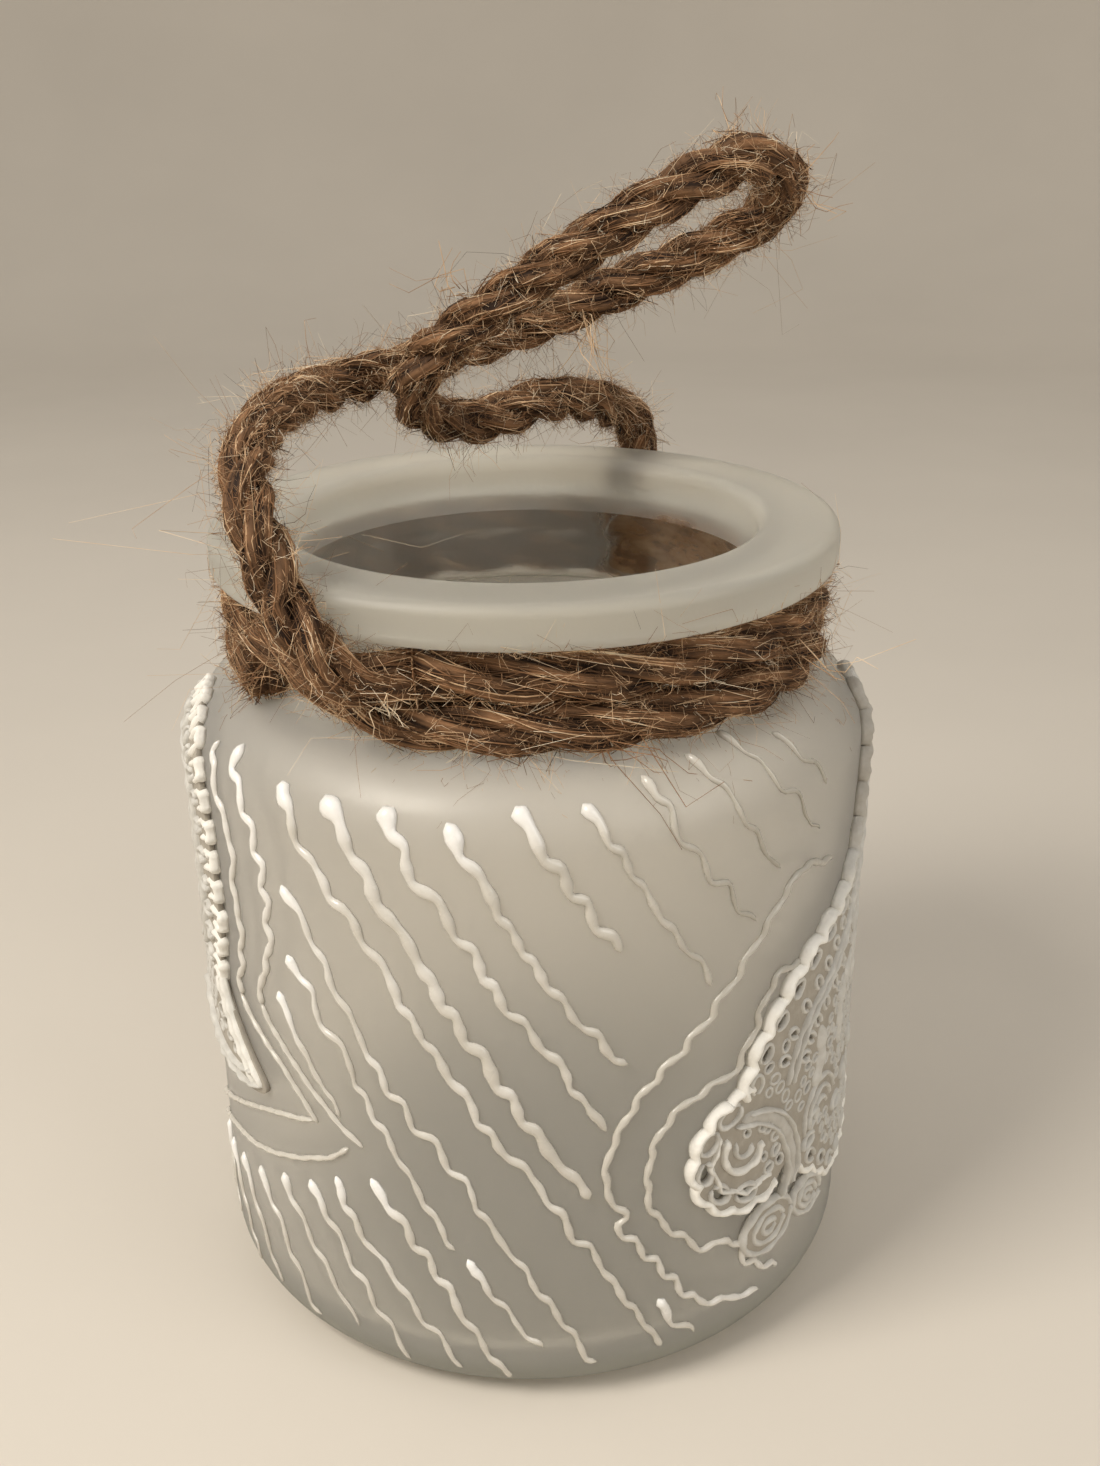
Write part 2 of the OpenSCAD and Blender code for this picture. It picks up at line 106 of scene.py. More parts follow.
class GlassSettings(bpy.types.PropertyGroup):
    height: length("Height", "Overall height of the glass", HEIGHT)
    body: length("Body radius", "Outside radius of the body", BODY)
    neck: length("Neck radius", "Outside radius of the neck", NECK)
    mouth: length("Mouth radius", "Radius of the mouth", MOUTH)
    rim: length("Rim radius", "Outside radius of the flat rim", RIM)
    satin: number("Satin", "Roughness of the etched outside", 0.5, "FACTOR")
    tint: colour("Glass", "Colour of the etched glass", (0.965, 0.945, 0.895))
    rim_tint: colour("Rim glass", "Colour of the thick rim", (0.90, 0.88, 0.80))
    deep_tint: colour("Thick glass", "Colour where the base is thick", (0.61, 0.615, 0.555))


class RopeSettings(bpy.types.PropertyGroup):
    radius: length("Radius", "Mean radius of the rope", 3.5)
    lay: length("Lay", "Length of one turn of the plies on the handle", 23)
    slack_lay: length("Slack lay", "Length of one turn of the plies round the neck", 38)
    fibre_width: length("Fibre", "Width of one bundle of fibres", 0.17)
    hair_width: length("Hair", "Width of one loose hair", 0.08)
    cover: IntProperty(name="Cover", description="Fibre bundles side by side on each ply", default=58, min=1)
    hairs: IntProperty(name="Hairs", description="Loose hairs on each centimetre of rope", default=170, min=0)
    # The darkest rope colour is painted shade: between the fibres, in the grooves and at the cut ends.
    painted_gap_shade: colour("Gaps", "Colour between the fibres", (0.020, 0.009, 0.004))
    brown: colour("Fibre brown", "Colour of most fibres", (0.33, 0.172, 0.082))
    light: colour("Light fibre", "Colour of the palest fibres", (0.86, 0.61, 0.37))


class PaintSettings(bpy.types.PropertyGroup):
    width: length("Width", "Width of a stroke", 1.3)
    rise: length("Rise", "Height of a stroke above the glass", 0.7)
    head: length("Head", "Width of the drop at a stroke's head", 2.3)
    swing: length("Swing", "Sideways swing of a wavy line", 0.5)
    wave: length("Wave", "Length of one wave", 7.6)
    # From white to thin, the paint's colours serve thin paint and also painted shade.
    white: colour("Paint", "Colour of the paint where it lies thick", (0.90, 0.89, 0.86))
    middle: colour("Spread paint", "Colour of the paint along a stroke", (0.62, 0.59, 0.525))
    thin: colour("Thin paint", "Colour where the paint lies thin", (0.42, 0.395, 0.34))


class LaceSettings(bpy.types.PropertyGroup):
    ground: length("Ground", "Thickness of the openwork ground", 1.0)
    cord: length("Cord", "Width of a raised cord", 1.0)
    rise: length("Cord rise", "Height of a cord above the ground", 1.0)
    white: colour("Lace", "Colour of the lace", (0.84, 0.82, 0.76))


class StageSettings(bpy.types.PropertyGroup):
    floor: colour("Floor", "Colour of the floor", (0.66, 0.61, 0.535))
    key: number("Key", "Power of the key lamp in watts", 4.6, "POWER")
    fill: number("Fill", "Power of the fill lamp in watts", 1.4, "POWER")
    sky: number("Sky", "Strength of the soft light from above", 0.58)


# ------------------------------------------------------------------ small tools


def clear_selection():
    if bpy.context.object and bpy.context.object.mode != "OBJECT":
        bpy.ops.object.mode_set(mode="OBJECT")
    bpy.ops.object.select_all(action="DESELECT")


def mesh_piece(name, points, faces, **per_point):
    """A piece from arrays: points in metres, faces as rows of corner numbers, and number attributes."""
    mesh = bpy.data.meshes.new(name)
    mesh.from_pydata(np.asarray(points, float).tolist(), [], faces)
    for key, values in per_point.items():
        attribute = mesh.attributes.new(key, "FLOAT", "POINT")
        attribute.data.foreach_set("value", np.asarray(values, np.float32))
    mesh.shade_smooth()
    piece = bpy.data.objects.new(name, mesh)
    bpy.context.scene.collection.objects.link(piece)
    return piece


def put(piece, body, slot, *materials):
    """Gives a finished piece its materials and its body. The slot is not used."""
    piece.data.materials.clear()
    for material in materials:
        piece.data.materials.append(material)
    if body:
        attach(piece, body)
    return piece


def unit_rows(v):
    return v / np.maximum(np.linalg.norm(v, axis=-1, keepdims=True), 1e-12)


def left_of(route):
    """Directions square to a flat route, on its left."""
    tangent = unit_rows(np.gradient(route, axis=0))
    return np.stack([-tangent[:, 1], tangent[:, 0]], axis=-1)


def smooth_route(points, step):
    """A smooth curve through points, with a point every step."""
    p = np.asarray(points, float)
    padded = np.vstack([2 * p[0] - p[1], p, 2 * p[-1] - p[-2]])
    t = np.linspace(0, 1, 12, endpoint=False)[:, None]
    a, b, c, d = padded[:-3, None], padded[1:-2, None], padded[2:-1, None], padded[3:, None]
    fine = 0.5 * (2 * b + (c - a) * t + (2 * a - 5 * b + 4 * c - d) * t**2 + (3 * b - 3 * c + d - a) * t**3)
    fine = np.vstack([fine.reshape(-1, p.shape[1]), p[-1]])
    along = np.concatenate([[0], np.cumsum(np.linalg.norm(np.diff(fine, axis=0), axis=1))])
    count = max(2, int(round(along[-1] / step)) + 1)
    at = np.linspace(0, along[-1], count)
    return np.stack([np.interp(at, along, fine[:, k]) for k in range(p.shape[1])], axis=1)


def tube_faces(tubes, rings, sides):
    """Corner numbers for many tubes of the same make, each closed by a point at both ends."""
    i, k = np.meshgrid(np.arange(rings - 1), np.arange(sides), indexing="ij")
    a, b = i * sides + k, i * sides + (k + 1) % sides
    walls = np.stack([a, b, b + sides, a + sides], axis=-1).reshape(-1, 4)
    first, last, k = rings * sides, rings * sides + 1, np.arange(sides)
    start = np.stack([(k + 1) % sides, k, np.full(sides, first)], axis=-1)
    top = (rings - 1) * sides
    end = np.stack([top + k, top + (k + 1) % sides, np.full(sides, last)], axis=-1)
    size = rings * sides + 2
    faces = []
    for n in range(tubes):
        faces += (walls + n * size).tolist() + (start + n * size).tolist() + (end + n * size).tolist()
    return faces


def thin_tubes(name, lines, radii, shades, sides=3):
    """Many thin tubes in one mesh. lines is [tube, ring, xyz], radii is [tube, ring].

    shades has a number for each tube, or for each ring of it.
    """
    tubes, rings = lines.shape[:2]
    dirs = unit_rows(np.gradient(lines, axis=1))
    aside = unit_rows(np.cross(dirs, np.array([0.31, -0.52, 0.79])))
    across = np.cross(dirs, aside)
    turn = (2 * np.pi * np.arange(sides) / sides)[:, None]
    ring = np.cos(turn) * aside[:, :, None] + np.sin(turn) * across[:, :, None]
    ring = lines[:, :, None] + radii[:, :, None, None] * ring
    ends = [0, -1]
    tips = lines[:, ends] + dirs[:, ends] * radii[:, ends, None] * np.array([-1.0, 1.0])[None, :, None]
    points = np.concatenate([ring.reshape(tubes, -1, 3), tips], axis=1)
    shade = np.broadcast_to(shades.reshape(tubes, -1), (tubes, rings))
    shade = np.concatenate([np.repeat(shade, sides, axis=1), shade[:, [0, -1]]], axis=1)
    return mesh_piece(name, points.reshape(-1, 3), tube_faces(tubes, rings, sides), shade=shade.ravel())


# ------------------------------------------------------------------ materials


def new_material(name):
    material = bpy.data.materials.new(name)
    material.use_nodes = True
    tree = material.node_tree
    return material, tree, tree.nodes["Principled BSDF"]


def node(tree, kind, **values):
    """A shader node with its settings and its inputs' values."""
    made = tree.nodes.new(kind)
    for key, value in values.items():
        if hasattr(made, key):
            setattr(made, key, value)
        else:
            made.inputs[key.replace("_", " ")].default_value = value
    return made


def noise_of(tree, scale, detail=4.0, roughness=0.55, stretch=None):
    """Noise on Object coordinates."""
    place = tree.nodes.new("ShaderNodeTexCoord")
    made = node(tree, "ShaderNodeTexNoise", Scale=scale, Detail=detail, Roughness=roughness)
    if stretch:
        mapping = node(tree, "ShaderNodeMapping")
        mapping.inputs["Scale"].default_value = stretch
        tree.links.new(place.outputs["Object"], mapping.inputs["Vector"])
        tree.links.new(mapping.outputs[0], made.inputs["Vector"])
    else:
        tree.links.new(place.outputs["Object"], made.inputs["Vector"])
    return made.outputs["Fac"]


def ramp(tree, source, stops):
    """A colour ramp: stops are (place, colour) pairs."""
    made = tree.nodes.new("ShaderNodeValToRGB")
    band = made.color_ramp
    while len(band.elements) < len(stops):
        band.elements.new(0.5)
    for element, (at, value) in zip(band.elements, stops):
        element.position = at
        element.color = (*value, 1)
    tree.links.new(source, made.inputs[0])
    return made.outputs[0]


def maths(tree, operation, a, b=0.0, clamp=False):
    """Result of a sum on two numbers or sockets."""
    made = tree.nodes.new("ShaderNodeMath")
    made.operation = operation
    made.use_clamp = clamp
    for value, socket in ((a, made.inputs[0]), (b, made.inputs[1])):
        if isinstance(value, (int, float)):
            socket.default_value = value
        else:
            tree.links.new(value, socket)
    return made.outputs[0]


def about_zero(tree, source, amount):
    """Noise moved to lie round zero, times an amount."""
    return maths(tree, "MULTIPLY", maths(tree, "SUBTRACT", source, 0.5), amount)


def between(tree, source, start, end):
    """Rises from 0 to 1 while the source goes from start to end."""
    made = node(tree, "ShaderNodeMapRange", From_Min=start, From_Max=end)
    tree.links.new(source, made.inputs["Value"])
    return made.outputs[0]


def uneven_roughness(tree, shader, scale, low, high, top=0.75):
    """Roughness that varies between two values in patches."""
    patches = ramp(tree, noise_of(tree, scale, 2), [(0.3, (low,) * 3), (top, (high,) * 3)])
    tree.links.new(patches, shader.inputs["Roughness"])


def bump(tree, shader, height, distance, strength=1.0):
    made = node(tree, "ShaderNodeBump", Strength=strength, Distance=distance)
    tree.links.new(height, made.inputs["Height"])
    tree.links.new(made.outputs[0], shader.inputs["Normal"])


def times(colour_value, factor):
    return tuple(min(1.0, c * factor) for c in colour_value)


def jute_material(rope):
    """Fibres take their tone and their painted shade from the mesh, and vary a little along their length."""
    material, tree, shader = new_material("jute_fibre")
    shade = node(tree, "ShaderNodeAttribute", attribute_name="shade")
    patches = noise_of(tree, 260, 3)
    value = maths(tree, "ADD", shade.outputs["Fac"], about_zero(tree, patches, 0.5))
    painted_gap_shade, brown, light = rope.painted_gap_shade, rope.brown, rope.light
    stops = [(0.0, painted_gap_shade), (0.28, times(brown, 0.5)), (0.55, brown), (0.85, light), (1.0, (0.93, 0.80, 0.60))]
    tree.links.new(ramp(tree, value, stops), shader.inputs["Base Color"])
    shader.inputs["Roughness"].default_value = 0.75
    shader.inputs["Specular IOR Level"].default_value = 0.25
    bump(tree, shader, noise_of(tree, 1500, 2), 0.0002, 0.6)
    return material


# Where glue wets the neck, in metres: its direction from the axis, and where it starts and is full
WET_WAY = (0.717, 0.697)
WET_AHEAD, WET_FOOT = (0.0338, 0.0356), (0.1022, 0.1040)
WET_TOP, WET_DEEP = (0.1168, 0.1152), (0.0405, 0.0395)


def wet_place(tree, x, y, z):
    """1 on the neck's inner face where glue wets the glass behind it, and 0 elsewhere."""
    ahead = maths(tree, "ADD", maths(tree, "MULTIPLY", x, WET_WAY[0]), maths(tree, "MULTIPLY", y, WET_WAY[1]))
    edge = about_zero(tree, noise_of(tree, 130, 3), 0.006)
    squares = maths(tree, "ADD", maths(tree, "MULTIPLY", x, x), maths(tree, "MULTIPLY", y, y))
    wet = between(tree, maths(tree, "ADD", ahead, edge), *WET_AHEAD)
    for source, (start, full) in ((z, WET_FOOT), (z, WET_TOP), (maths(tree, "SQRT", squares), WET_DEEP)):
        wet = maths(tree, "MULTIPLY", wet, between(tree, source, start, full))
    return wet


def satin_material(glass):
    """Etched glass: milky, greener and darker in the thick base, and clear where glue wets it."""
    material, tree, shader = new_material("satin_glass")
    place = tree.nodes.new("ShaderNodeTexCoord")
    split = tree.nodes.new("ShaderNodeSeparateXYZ")
    tree.links.new(place.outputs["Object"], split.inputs[0])
    x, y, z = split.outputs
    tint, deep = tuple(glass.tint), tuple(glass.deep_tint)
    stops = [
        (0.0, deep), (0.045, times(deep, 1.15)), (0.085, times(tint, 0.92)), (0.92, tint),
        (0.96, glass.rim_tint),
    ]
    etched = ramp(tree, between(tree, z, 0.0, HEIGHT * MM), stops)
    wet = wet_place(tree, x, y, z)
    # The rope lies right behind the wet place and fills it with its colour.
    streaks = noise_of(tree, 1.0, 5, 0.62, (170, 170, 420))
    rope_stops = [(0.28, (0.26, 0.13, 0.06)), (0.5, (0.50, 0.29, 0.15)), (0.74, (0.72, 0.49, 0.29))]
    mix = node(tree, "ShaderNodeMix", data_type="RGBA")
    tree.links.new(wet, mix.inputs["Factor"])
    tree.links.new(etched, mix.inputs[6])
    tree.links.new(ramp(tree, streaks, rope_stops), mix.inputs[7])
    tree.links.new(mix.outputs[2], shader.inputs["Base Color"])
    rough = maths(tree, "MULTIPLY", maths(tree, "SUBTRACT", 1.0, wet), glass.satin)
    tree.links.new(maths(tree, "ADD", rough, 0.02), shader.inputs["Roughness"])
    clear = maths(tree, "ADD", maths(tree, "MULTIPLY", wet, -0.2), 0.8)
    tree.links.new(clear, shader.inputs["Transmission Weight"])
    shader.inputs["IOR"].default_value = 1.46
    bump(tree, shader, noise_of(tree, 1800, 2), 0.00003, 0.35)
    return material


def bare_glass_material(glass):
    """The inside of the jar, which isn't etched."""
    material, tree, shader = new_material("bare_glass")
    shader.inputs["Base Color"].default_value = (*times(glass.tint, 1.04), 1)
    shader.inputs["Transmission Weight"].default_value = 1.0
    shader.inputs["IOR"].default_value = 1.46
    uneven_roughness(tree, shader, 40, 0.04, 0.10, 0.7)
    bump(tree, shader, noise_of(tree, 35, 1), 0.0004, 0.25)
    return material


def glue_material():
    """Clear glue, a little yellow and lumpy."""
    material, tree, shader = new_material("clear_glue")
    patch = ramp(tree, noise_of(tree, 120, 3), [(0.3, (0.90, 0.87, 0.78)), (0.7, (0.97, 0.96, 0.92))])
    tree.links.new(patch, shader.inputs["Base Color"])
    shader.inputs["Roughness"].default_value = 0.12
    shader.inputs["Transmission Weight"].default_value = 0.85
    shader.inputs["IOR"].default_value = 1.48
    bump(tree, shader, noise_of(tree, 160, 2), 0.0006, 0.5)
    return material


def paint_material(paint):
    """White contour paint, greyer where it lies thin, and greyer on strokes given painted shade."""
    material, tree, shader = new_material("contour_paint")
    thin = node(tree, "ShaderNodeAttribute", attribute_name="thin")
    blotch = about_zero(tree, noise_of(tree, 420, 3), 0.25)
    value = maths(tree, "ADD", thin.outputs["Fac"], blotch, clamp=True)
    stops = [(0.0, paint.white), (0.4, paint.middle), (1.0, paint.thin)]
    tree.links.new(ramp(tree, value, stops), shader.inputs["Base Color"])
    uneven_roughness(tree, shader, 300, 0.22, 0.38)
    shader.inputs["Coat Weight"].default_value = 0.4
    shader.inputs["Coat Roughness"].default_value = 0.08
    bump(tree, shader, noise_of(tree, 700, 2), 0.00008, 0.5)
    return material


def lace_material(lace):
    """Matt relief paste, creamy, with painted shade: darker and browner on its ground and darkest down in its
    openings, chalkier on its cords, and dimmer on cords given painted shade.
    """
    material, tree, shader = new_material("lace_paste")
    depth = node(tree, "ShaderNodeAttribute", attribute_name="shade")
    spots = about_zero(tree, noise_of(tree, 500, 4), 0.35)
    value = maths(tree, "ADD", depth.outputs["Fac"], spots, clamp=True)
    white = tuple(lace.white)
    # Browner, darker colours for the ground, darkest low down in its openings, where they are painted shade
    low, middle = ((white[0] * k, white[1] * 0.93 * k, white[2] * 0.84 * k) for k in (0.27, 0.44))
    stops = [(0.0, low), (0.45, middle), (0.72, times(white, 0.7)), (1.0, times(white, 1.08))]
    tree.links.new(ramp(tree, value, stops), shader.inputs["Base Color"])
    uneven_roughness(tree, shader, 350, 0.45, 0.65)
    bump(tree, shader, noise_of(tree, 1300, 3), 0.00015, 0.6)
    return material


# ------------------------------------------------------------------ the rope's route

TURN_RADIUS, UPPER_TURN, LOWER_TURN = 42.3, 113.2, 106.1
LEG_RADIUS, SWING_HEIGHT = 51.1, 127.0
CUT_END, BOUND_ARC, CLIMB_ARC = -60.0, 680.0, 40.0
# From the turns up to the rim: azimuth, way out from the turns, and height
LEG_ROUTE = [
    (-24, 2.7, UPPER_TURN - 0.6), (-28, 5.7, UPPER_TURN), (-31, 8.0, 116.0), (-34, 8.8, 120.0),
    (-37.3, 8.8, 123.2), (-38.8, 8.8, SWING_HEIGHT),
]
# Down behind the rim: azimuth, way out from the leg's radius, and height
TAIL_ROUTE = [
    (156.9, 0, SWING_HEIGHT), (156.9, 0, 123.2), (156.9, 0.3, 119.5), (156.3, 0.1, 113.5),
    (155.8, -0.8, 110.2), (155.8, -1.2, 106.1),
]
# The handle's route over the rim: x, y and height above the rim's top
HANDLE_ROUTE = [
    (-33.5, -38, 6.5), (-35, -35, 9.5), (-36, -29.5, 13), (-36.5, -21, 15), (-35, -11, 17),
    (-32.5, 0, 17.5), (-27, 11, 17.5), (-20, 19, 18), (-12.5, 23, 19.5), (-4, 25, 22),
    (5, 24.5, 25), (14, 23.5, 29), (23.5, 21.5, 33), (31.5, 19.5, 37), (36, 17.5, 40),
    (38.5, 13.5, 43.5), (38, 8, 46.5), (35, 3.5, 48.5), (31, 1, 49), (25, 0, 47),
    (18.5, 0, 43.5), (11.5, 0, 39.5), (4.5, 0, 35.5), (-3, 0.5, 30.5), (-9, 1.5, 26.5),
    (-13.5, 3.5, 22.5), (-16.5, 7, 17.5), (-15.5, 11, 13), (-11, 15, 10.5), (-4.5, 19.5, 10),
    (3, 25, 11.5), (9.5, 31.5, 10.5), (14, 37.5, 8.5), (17.5, 43, 6),
]
PLIES = 3


def around(azimuth, radius, z):
    """A point at an azimuth from the front, in degrees, towards +X."""
    a = np.radians(azimuth)
    return np.stack(np.broadcast_arrays(radius * np.sin(a), -radius * np.cos(a), z), axis=-1)


def eased(x):
    t = np.clip(x, 0, 1)
    return t * t * (3 - 2 * t)


def rope_points():
    """The rope's points in millimetres, and where the handle's first and last ones are among them."""
    w = np.linspace(0, BOUND_ARC, 86)
    climb = (UPPER_TURN - LOWER_TURN) * eased((w - 360 + CLIMB_ARC) / CLIMB_ARC)
    turns = around(CUT_END - w, TURN_RADIUS, LOWER_TURN + climb)
    leg = [around(azimuth, TURN_RADIUS + out, z) for azimuth, out, z in LEG_ROUTE]
    handle = [(x, y, HEIGHT + z) for x, y, z in HANDLE_ROUTE]
    tail = [around(azimuth, LEG_RADIUS + out, z) for azimuth, out, z in TAIL_ROUTE]
    return np.vstack([turns, leg, handle, tail]), len(turns)


class Rope:
    """The route of the whole rope with its frames and the turn of its plies, all at one fine step."""

    def __init__(self, settings, step=0.8 * MM):
        points, bound = rope_points()
        self.line = smooth_route(points * MM, step)
        self.along = np.concatenate([[0], np.cumsum(np.linalg.norm(np.diff(self.line, axis=0), axis=1))])
        split = points[bound - 1] * MM
        self.split = int(np.argmin(np.linalg.norm(self.line - split, axis=1)))
        self.dirs = unit_rows(np.gradient(self.line, axis=0))
        side = np.array([0.0, 0.0, 1.0])
        self.sides = np.empty_like(self.line)
        for i, d in enumerate(self.dirs):
            side = side - side.dot(d) * d
            side /= np.linalg.norm(side)
            self.sides[i] = side
        self.ups = np.cross(self.dirs, self.sides)
        # The plies lie slack round the neck and are twisted harder on the handle.
        slack = 1 - eased((self.along - self.along[self.split]) / (20 * MM))
        lay = settings.lay + (settings.slack_lay - settings.lay) * slack
        steps = np.concatenate([[0], np.diff(self.along)])
        self.turn = np.cumsum(2 * np.pi * steps / lay)
        self.twist = np.cumsum(2 * np.pi * steps / (PLY_TWIST + (SLACK_TWIST - PLY_TWIST) * slack))
        self.radius = settings.radius
        # Loose places, where a ply swells or slips
        s = self.along / MM
        self.swell = [
            1 + 0.05 * np.sin(s / 5.3 + 2.1 * k) + 0.04 * np.sin(s / 2.1 + 4.4 * k) for k in range(PLIES)
        ]

    def ply(self, k, at):
        """Centre of ply k at places given in route steps, and its directions outwards and sideways."""
        i = np.arange(len(self.line))

        def read(values):
            return np.stack([np.interp(at, i, values[:, c]) for c in range(3)], axis=-1)

        line, side, up = read(self.line), unit_rows(read(self.sides)), unit_rows(read(self.ups))
        a = np.interp(at, i, self.turn)[..., None] + 2 * np.pi * k / PLIES
        out = np.cos(a) * side + np.sin(a) * up
        across = -np.sin(a) * side + np.cos(a) * up
        fat = np.interp(at, i, self.swell[k])[..., None]
        return line + out * self.radius * (0.48 + 0.02 * fat), out, across, self.radius * 0.51 * fat

    def surface(self, k, at, angle, lift=0.0):
        """A point on ply k, at an angle round it from its outer side."""
        centre, out, across, r = self.ply(k, at)
        way = np.cos(angle)[..., None] * out + np.sin(angle)[..., None] * across
        return centre + (r + np.asarray(lift)[..., None]) * way

    def steps(self, metres):
        """Route steps to a place given in metres along the rope."""
        return metres / (self.along[1] - self.along[0])


PLY_SIDES = 34
PLY_TWIST, SLACK_TWIST = 19 * MM, 38 * MM
# Each ply is made of a few yarns, which show as ribs along it.
YARNS, YARN_RISE = 4, 0.15 * MM


def yarn_wave(angle, k):
    """The ribs round ply k, from -1 in a groove to 1 on a yarn."""
    return np.sin(YARNS * angle + 1.3 * k)


def painted_groove_shade(angle):
    """Painted shade: the share of the light that reaches a place at an angle round a ply from its outer side.
    """
    return 0.2 + 0.8 * (0.5 + 0.5 * np.cos(angle)) ** 0.8


def plies_piece(name, rope, first, last):
    """The rope's three plies from one route step to another, each a closed ribbed tube."""
    at = np.arange(first, last + 1).astype(float)
    points, faces, shade = [], [], []
    ring = np.arange(PLY_SIDES)
    for k in range(PLIES):
        base = sum(len(p) for p in points)
        turn = 2 * np.pi * ring / PLY_SIDES
        theta = turn[None] - rope.twist[first:last + 1, None]
        # Streaks a third of a millimetre wide follow the fibres and come and go along them.
        rng = np.random.default_rng(500 + k)
        s = rope.along[first:last + 1, None] / MM
        streak = np.sin(s / rng.uniform(1.2, 4, PLY_SIDES) + rng.uniform(0, 6, PLY_SIDES))
        streak = streak * rng.uniform(0.3, 1, PLY_SIDES)
        ribs = YARN_RISE * yarn_wave(turn, k)[None] + 0.06 * MM * streak
        tube = rope.surface(k, np.repeat(at[:, None], PLY_SIDES, axis=1), theta, ribs)
        ahead = 0.4 * MM * rope.dirs[[first, last]] * [[-1.0], [1.0]]
        points += [tube.reshape(-1, 3), tube[[0, -1]].mean(axis=1) + ahead]
        faces += [[c + base for c in face] for face in tube_faces(1, len(at), PLY_SIDES)]
        # Painted shade: the plies are dark where they show between the fibres, darker in the grooves between
        # yarns and between plies, and near black at their ends for the cut end's hollow.
        tone = (0.20 + 0.14 * yarn_wave(turn, k)[None] + 0.2 * streak) * painted_groove_shade(theta)
        shade += [np.clip(tone, 0, 1).ravel(), [0.02, 0.02]]
    return mesh_piece(name, np.vstack(points), faces, shade=np.concatenate(shade))


def glass_radius(z):
    """Outside radius of the glass at heights in metres, with the rim, and zero over it."""
    mm = z / MM
    over = np.clip(mm - SHOULDER_START, 0, SHOULDER - 0.05)
    body = BODY - (SHOULDER - np.sqrt(SHOULDER**2 - over**2))
    radius = np.where(mm < NECK_START, body, NECK)
    radius = np.where((mm > RIM_START - 0.3) & (mm < HEIGHT + 0.2), RIM, radius)
    return np.where(mm >= HEIGHT + 0.2, 0.0, radius) * MM


def clear_of_glass(points, gap=0.12 * MM):
    """Pushes points out of the glass, away from the jar's axis."""
    r = np.linalg.norm(points[..., :2], axis=-1)
    least = glass_radius(points[..., 2]) + gap
    push = np.where((r < least) & (r > 30 * MM), least / np.maximum(r, 1e-9), 1.0)
    moved = points.copy()
    moved[..., :2] *= push[..., None]
    return moved


def fibres_piece(name, rope, first, last, settings, seed, cover=1.0):
    """Bundles of fibres that wind round each ply, some with an end that stands off."""
    rng = np.random.default_rng(seed)
    span = rope.along[last] - rope.along[first]
    rings = 11
    count = int(PLIES * settings.cover * cover * span / (26 * MM))
    long = rng.uniform(14, 38, count) * MM
    start = rng.uniform(-0.3, 1.0, count) * (span - 0.2 * long) + rope.along[first]
    t = np.linspace(0, 1, rings)
    s = np.clip(start[:, None] + long[:, None] * t, rope.along[first], rope.along[last])
    at = rope.steps(s)
    ply = rng.integers(0, PLIES, count)
    drift = rng.normal(0, 0.42, (count, 1))
    bends = t[None] * rng.uniform(0.5, 1.6, (count, 1)) + rng.uniform(0, 1, (count, 1))
    wander = drift * np.sin(2 * np.pi * bends)
    begin = rng.uniform(0, 2 * np.pi, (count, 1))
    angle = begin - np.interp(s, rope.along, rope.twist) + wander
    rib = yarn_wave(begin + wander, ply[:, None])
    lift = rng.uniform(0.0, 0.2, (count, 1)) * MM + YARN_RISE * rib
    lift = lift + 0.1 * MM * np.sin(7 * t[None] + rng.uniform(0, 6, (count, 1)))
    ends = np.where(rng.random((count, 1)) < 0.5, rng.uniform(0.3, 1.7, (count, 1)), 0.0) * MM
    lift = lift + ends * np.clip((t[None] - 0.82) / 0.18, 0, 1) ** 2
    ends = np.where(rng.random((count, 1)) < 0.3, rng.uniform(0.3, 1.2, (count, 1)), 0.0) * MM
    lift = lift + ends * np.clip((0.16 - t[None]) / 0.16, 0, 1) ** 2
    lines = np.zeros((count, rings, 3))
    for k in range(PLIES):
        mine = ply == k
        lines[mine] = rope.surface(k, at[mine], angle[mine], lift[mine])
    width = settings.fibre_width * rng.uniform(0.35, 0.75, (count, 1))
    radii = width * (0.35 + 0.65 * np.sin(np.pi * np.clip(t, 0.04, 0.96)) ** 0.6)[None]
    clumps = 0.16 * np.sin(s / (2.9 * MM) + 2 * ply[:, None] + begin)
    # Bundles differ in tone at random; painted shade makes them darker in the grooves between yarns and
    # between plies.
    shades = np.clip(rng.normal(0.46, 0.25, (count, 1)) + 0.15 * rib + clumps, 0.02, 1.0)
    return thin_tubes(name, clear_of_glass(lines), radii, shades * painted_groove_shade(angle))


# Loose hairs: least and mean extra length in mm, and how much they curl
FUZZ, LINT = (0.6, 1.0, 1.35), (0.7, 0.5, 1.7)


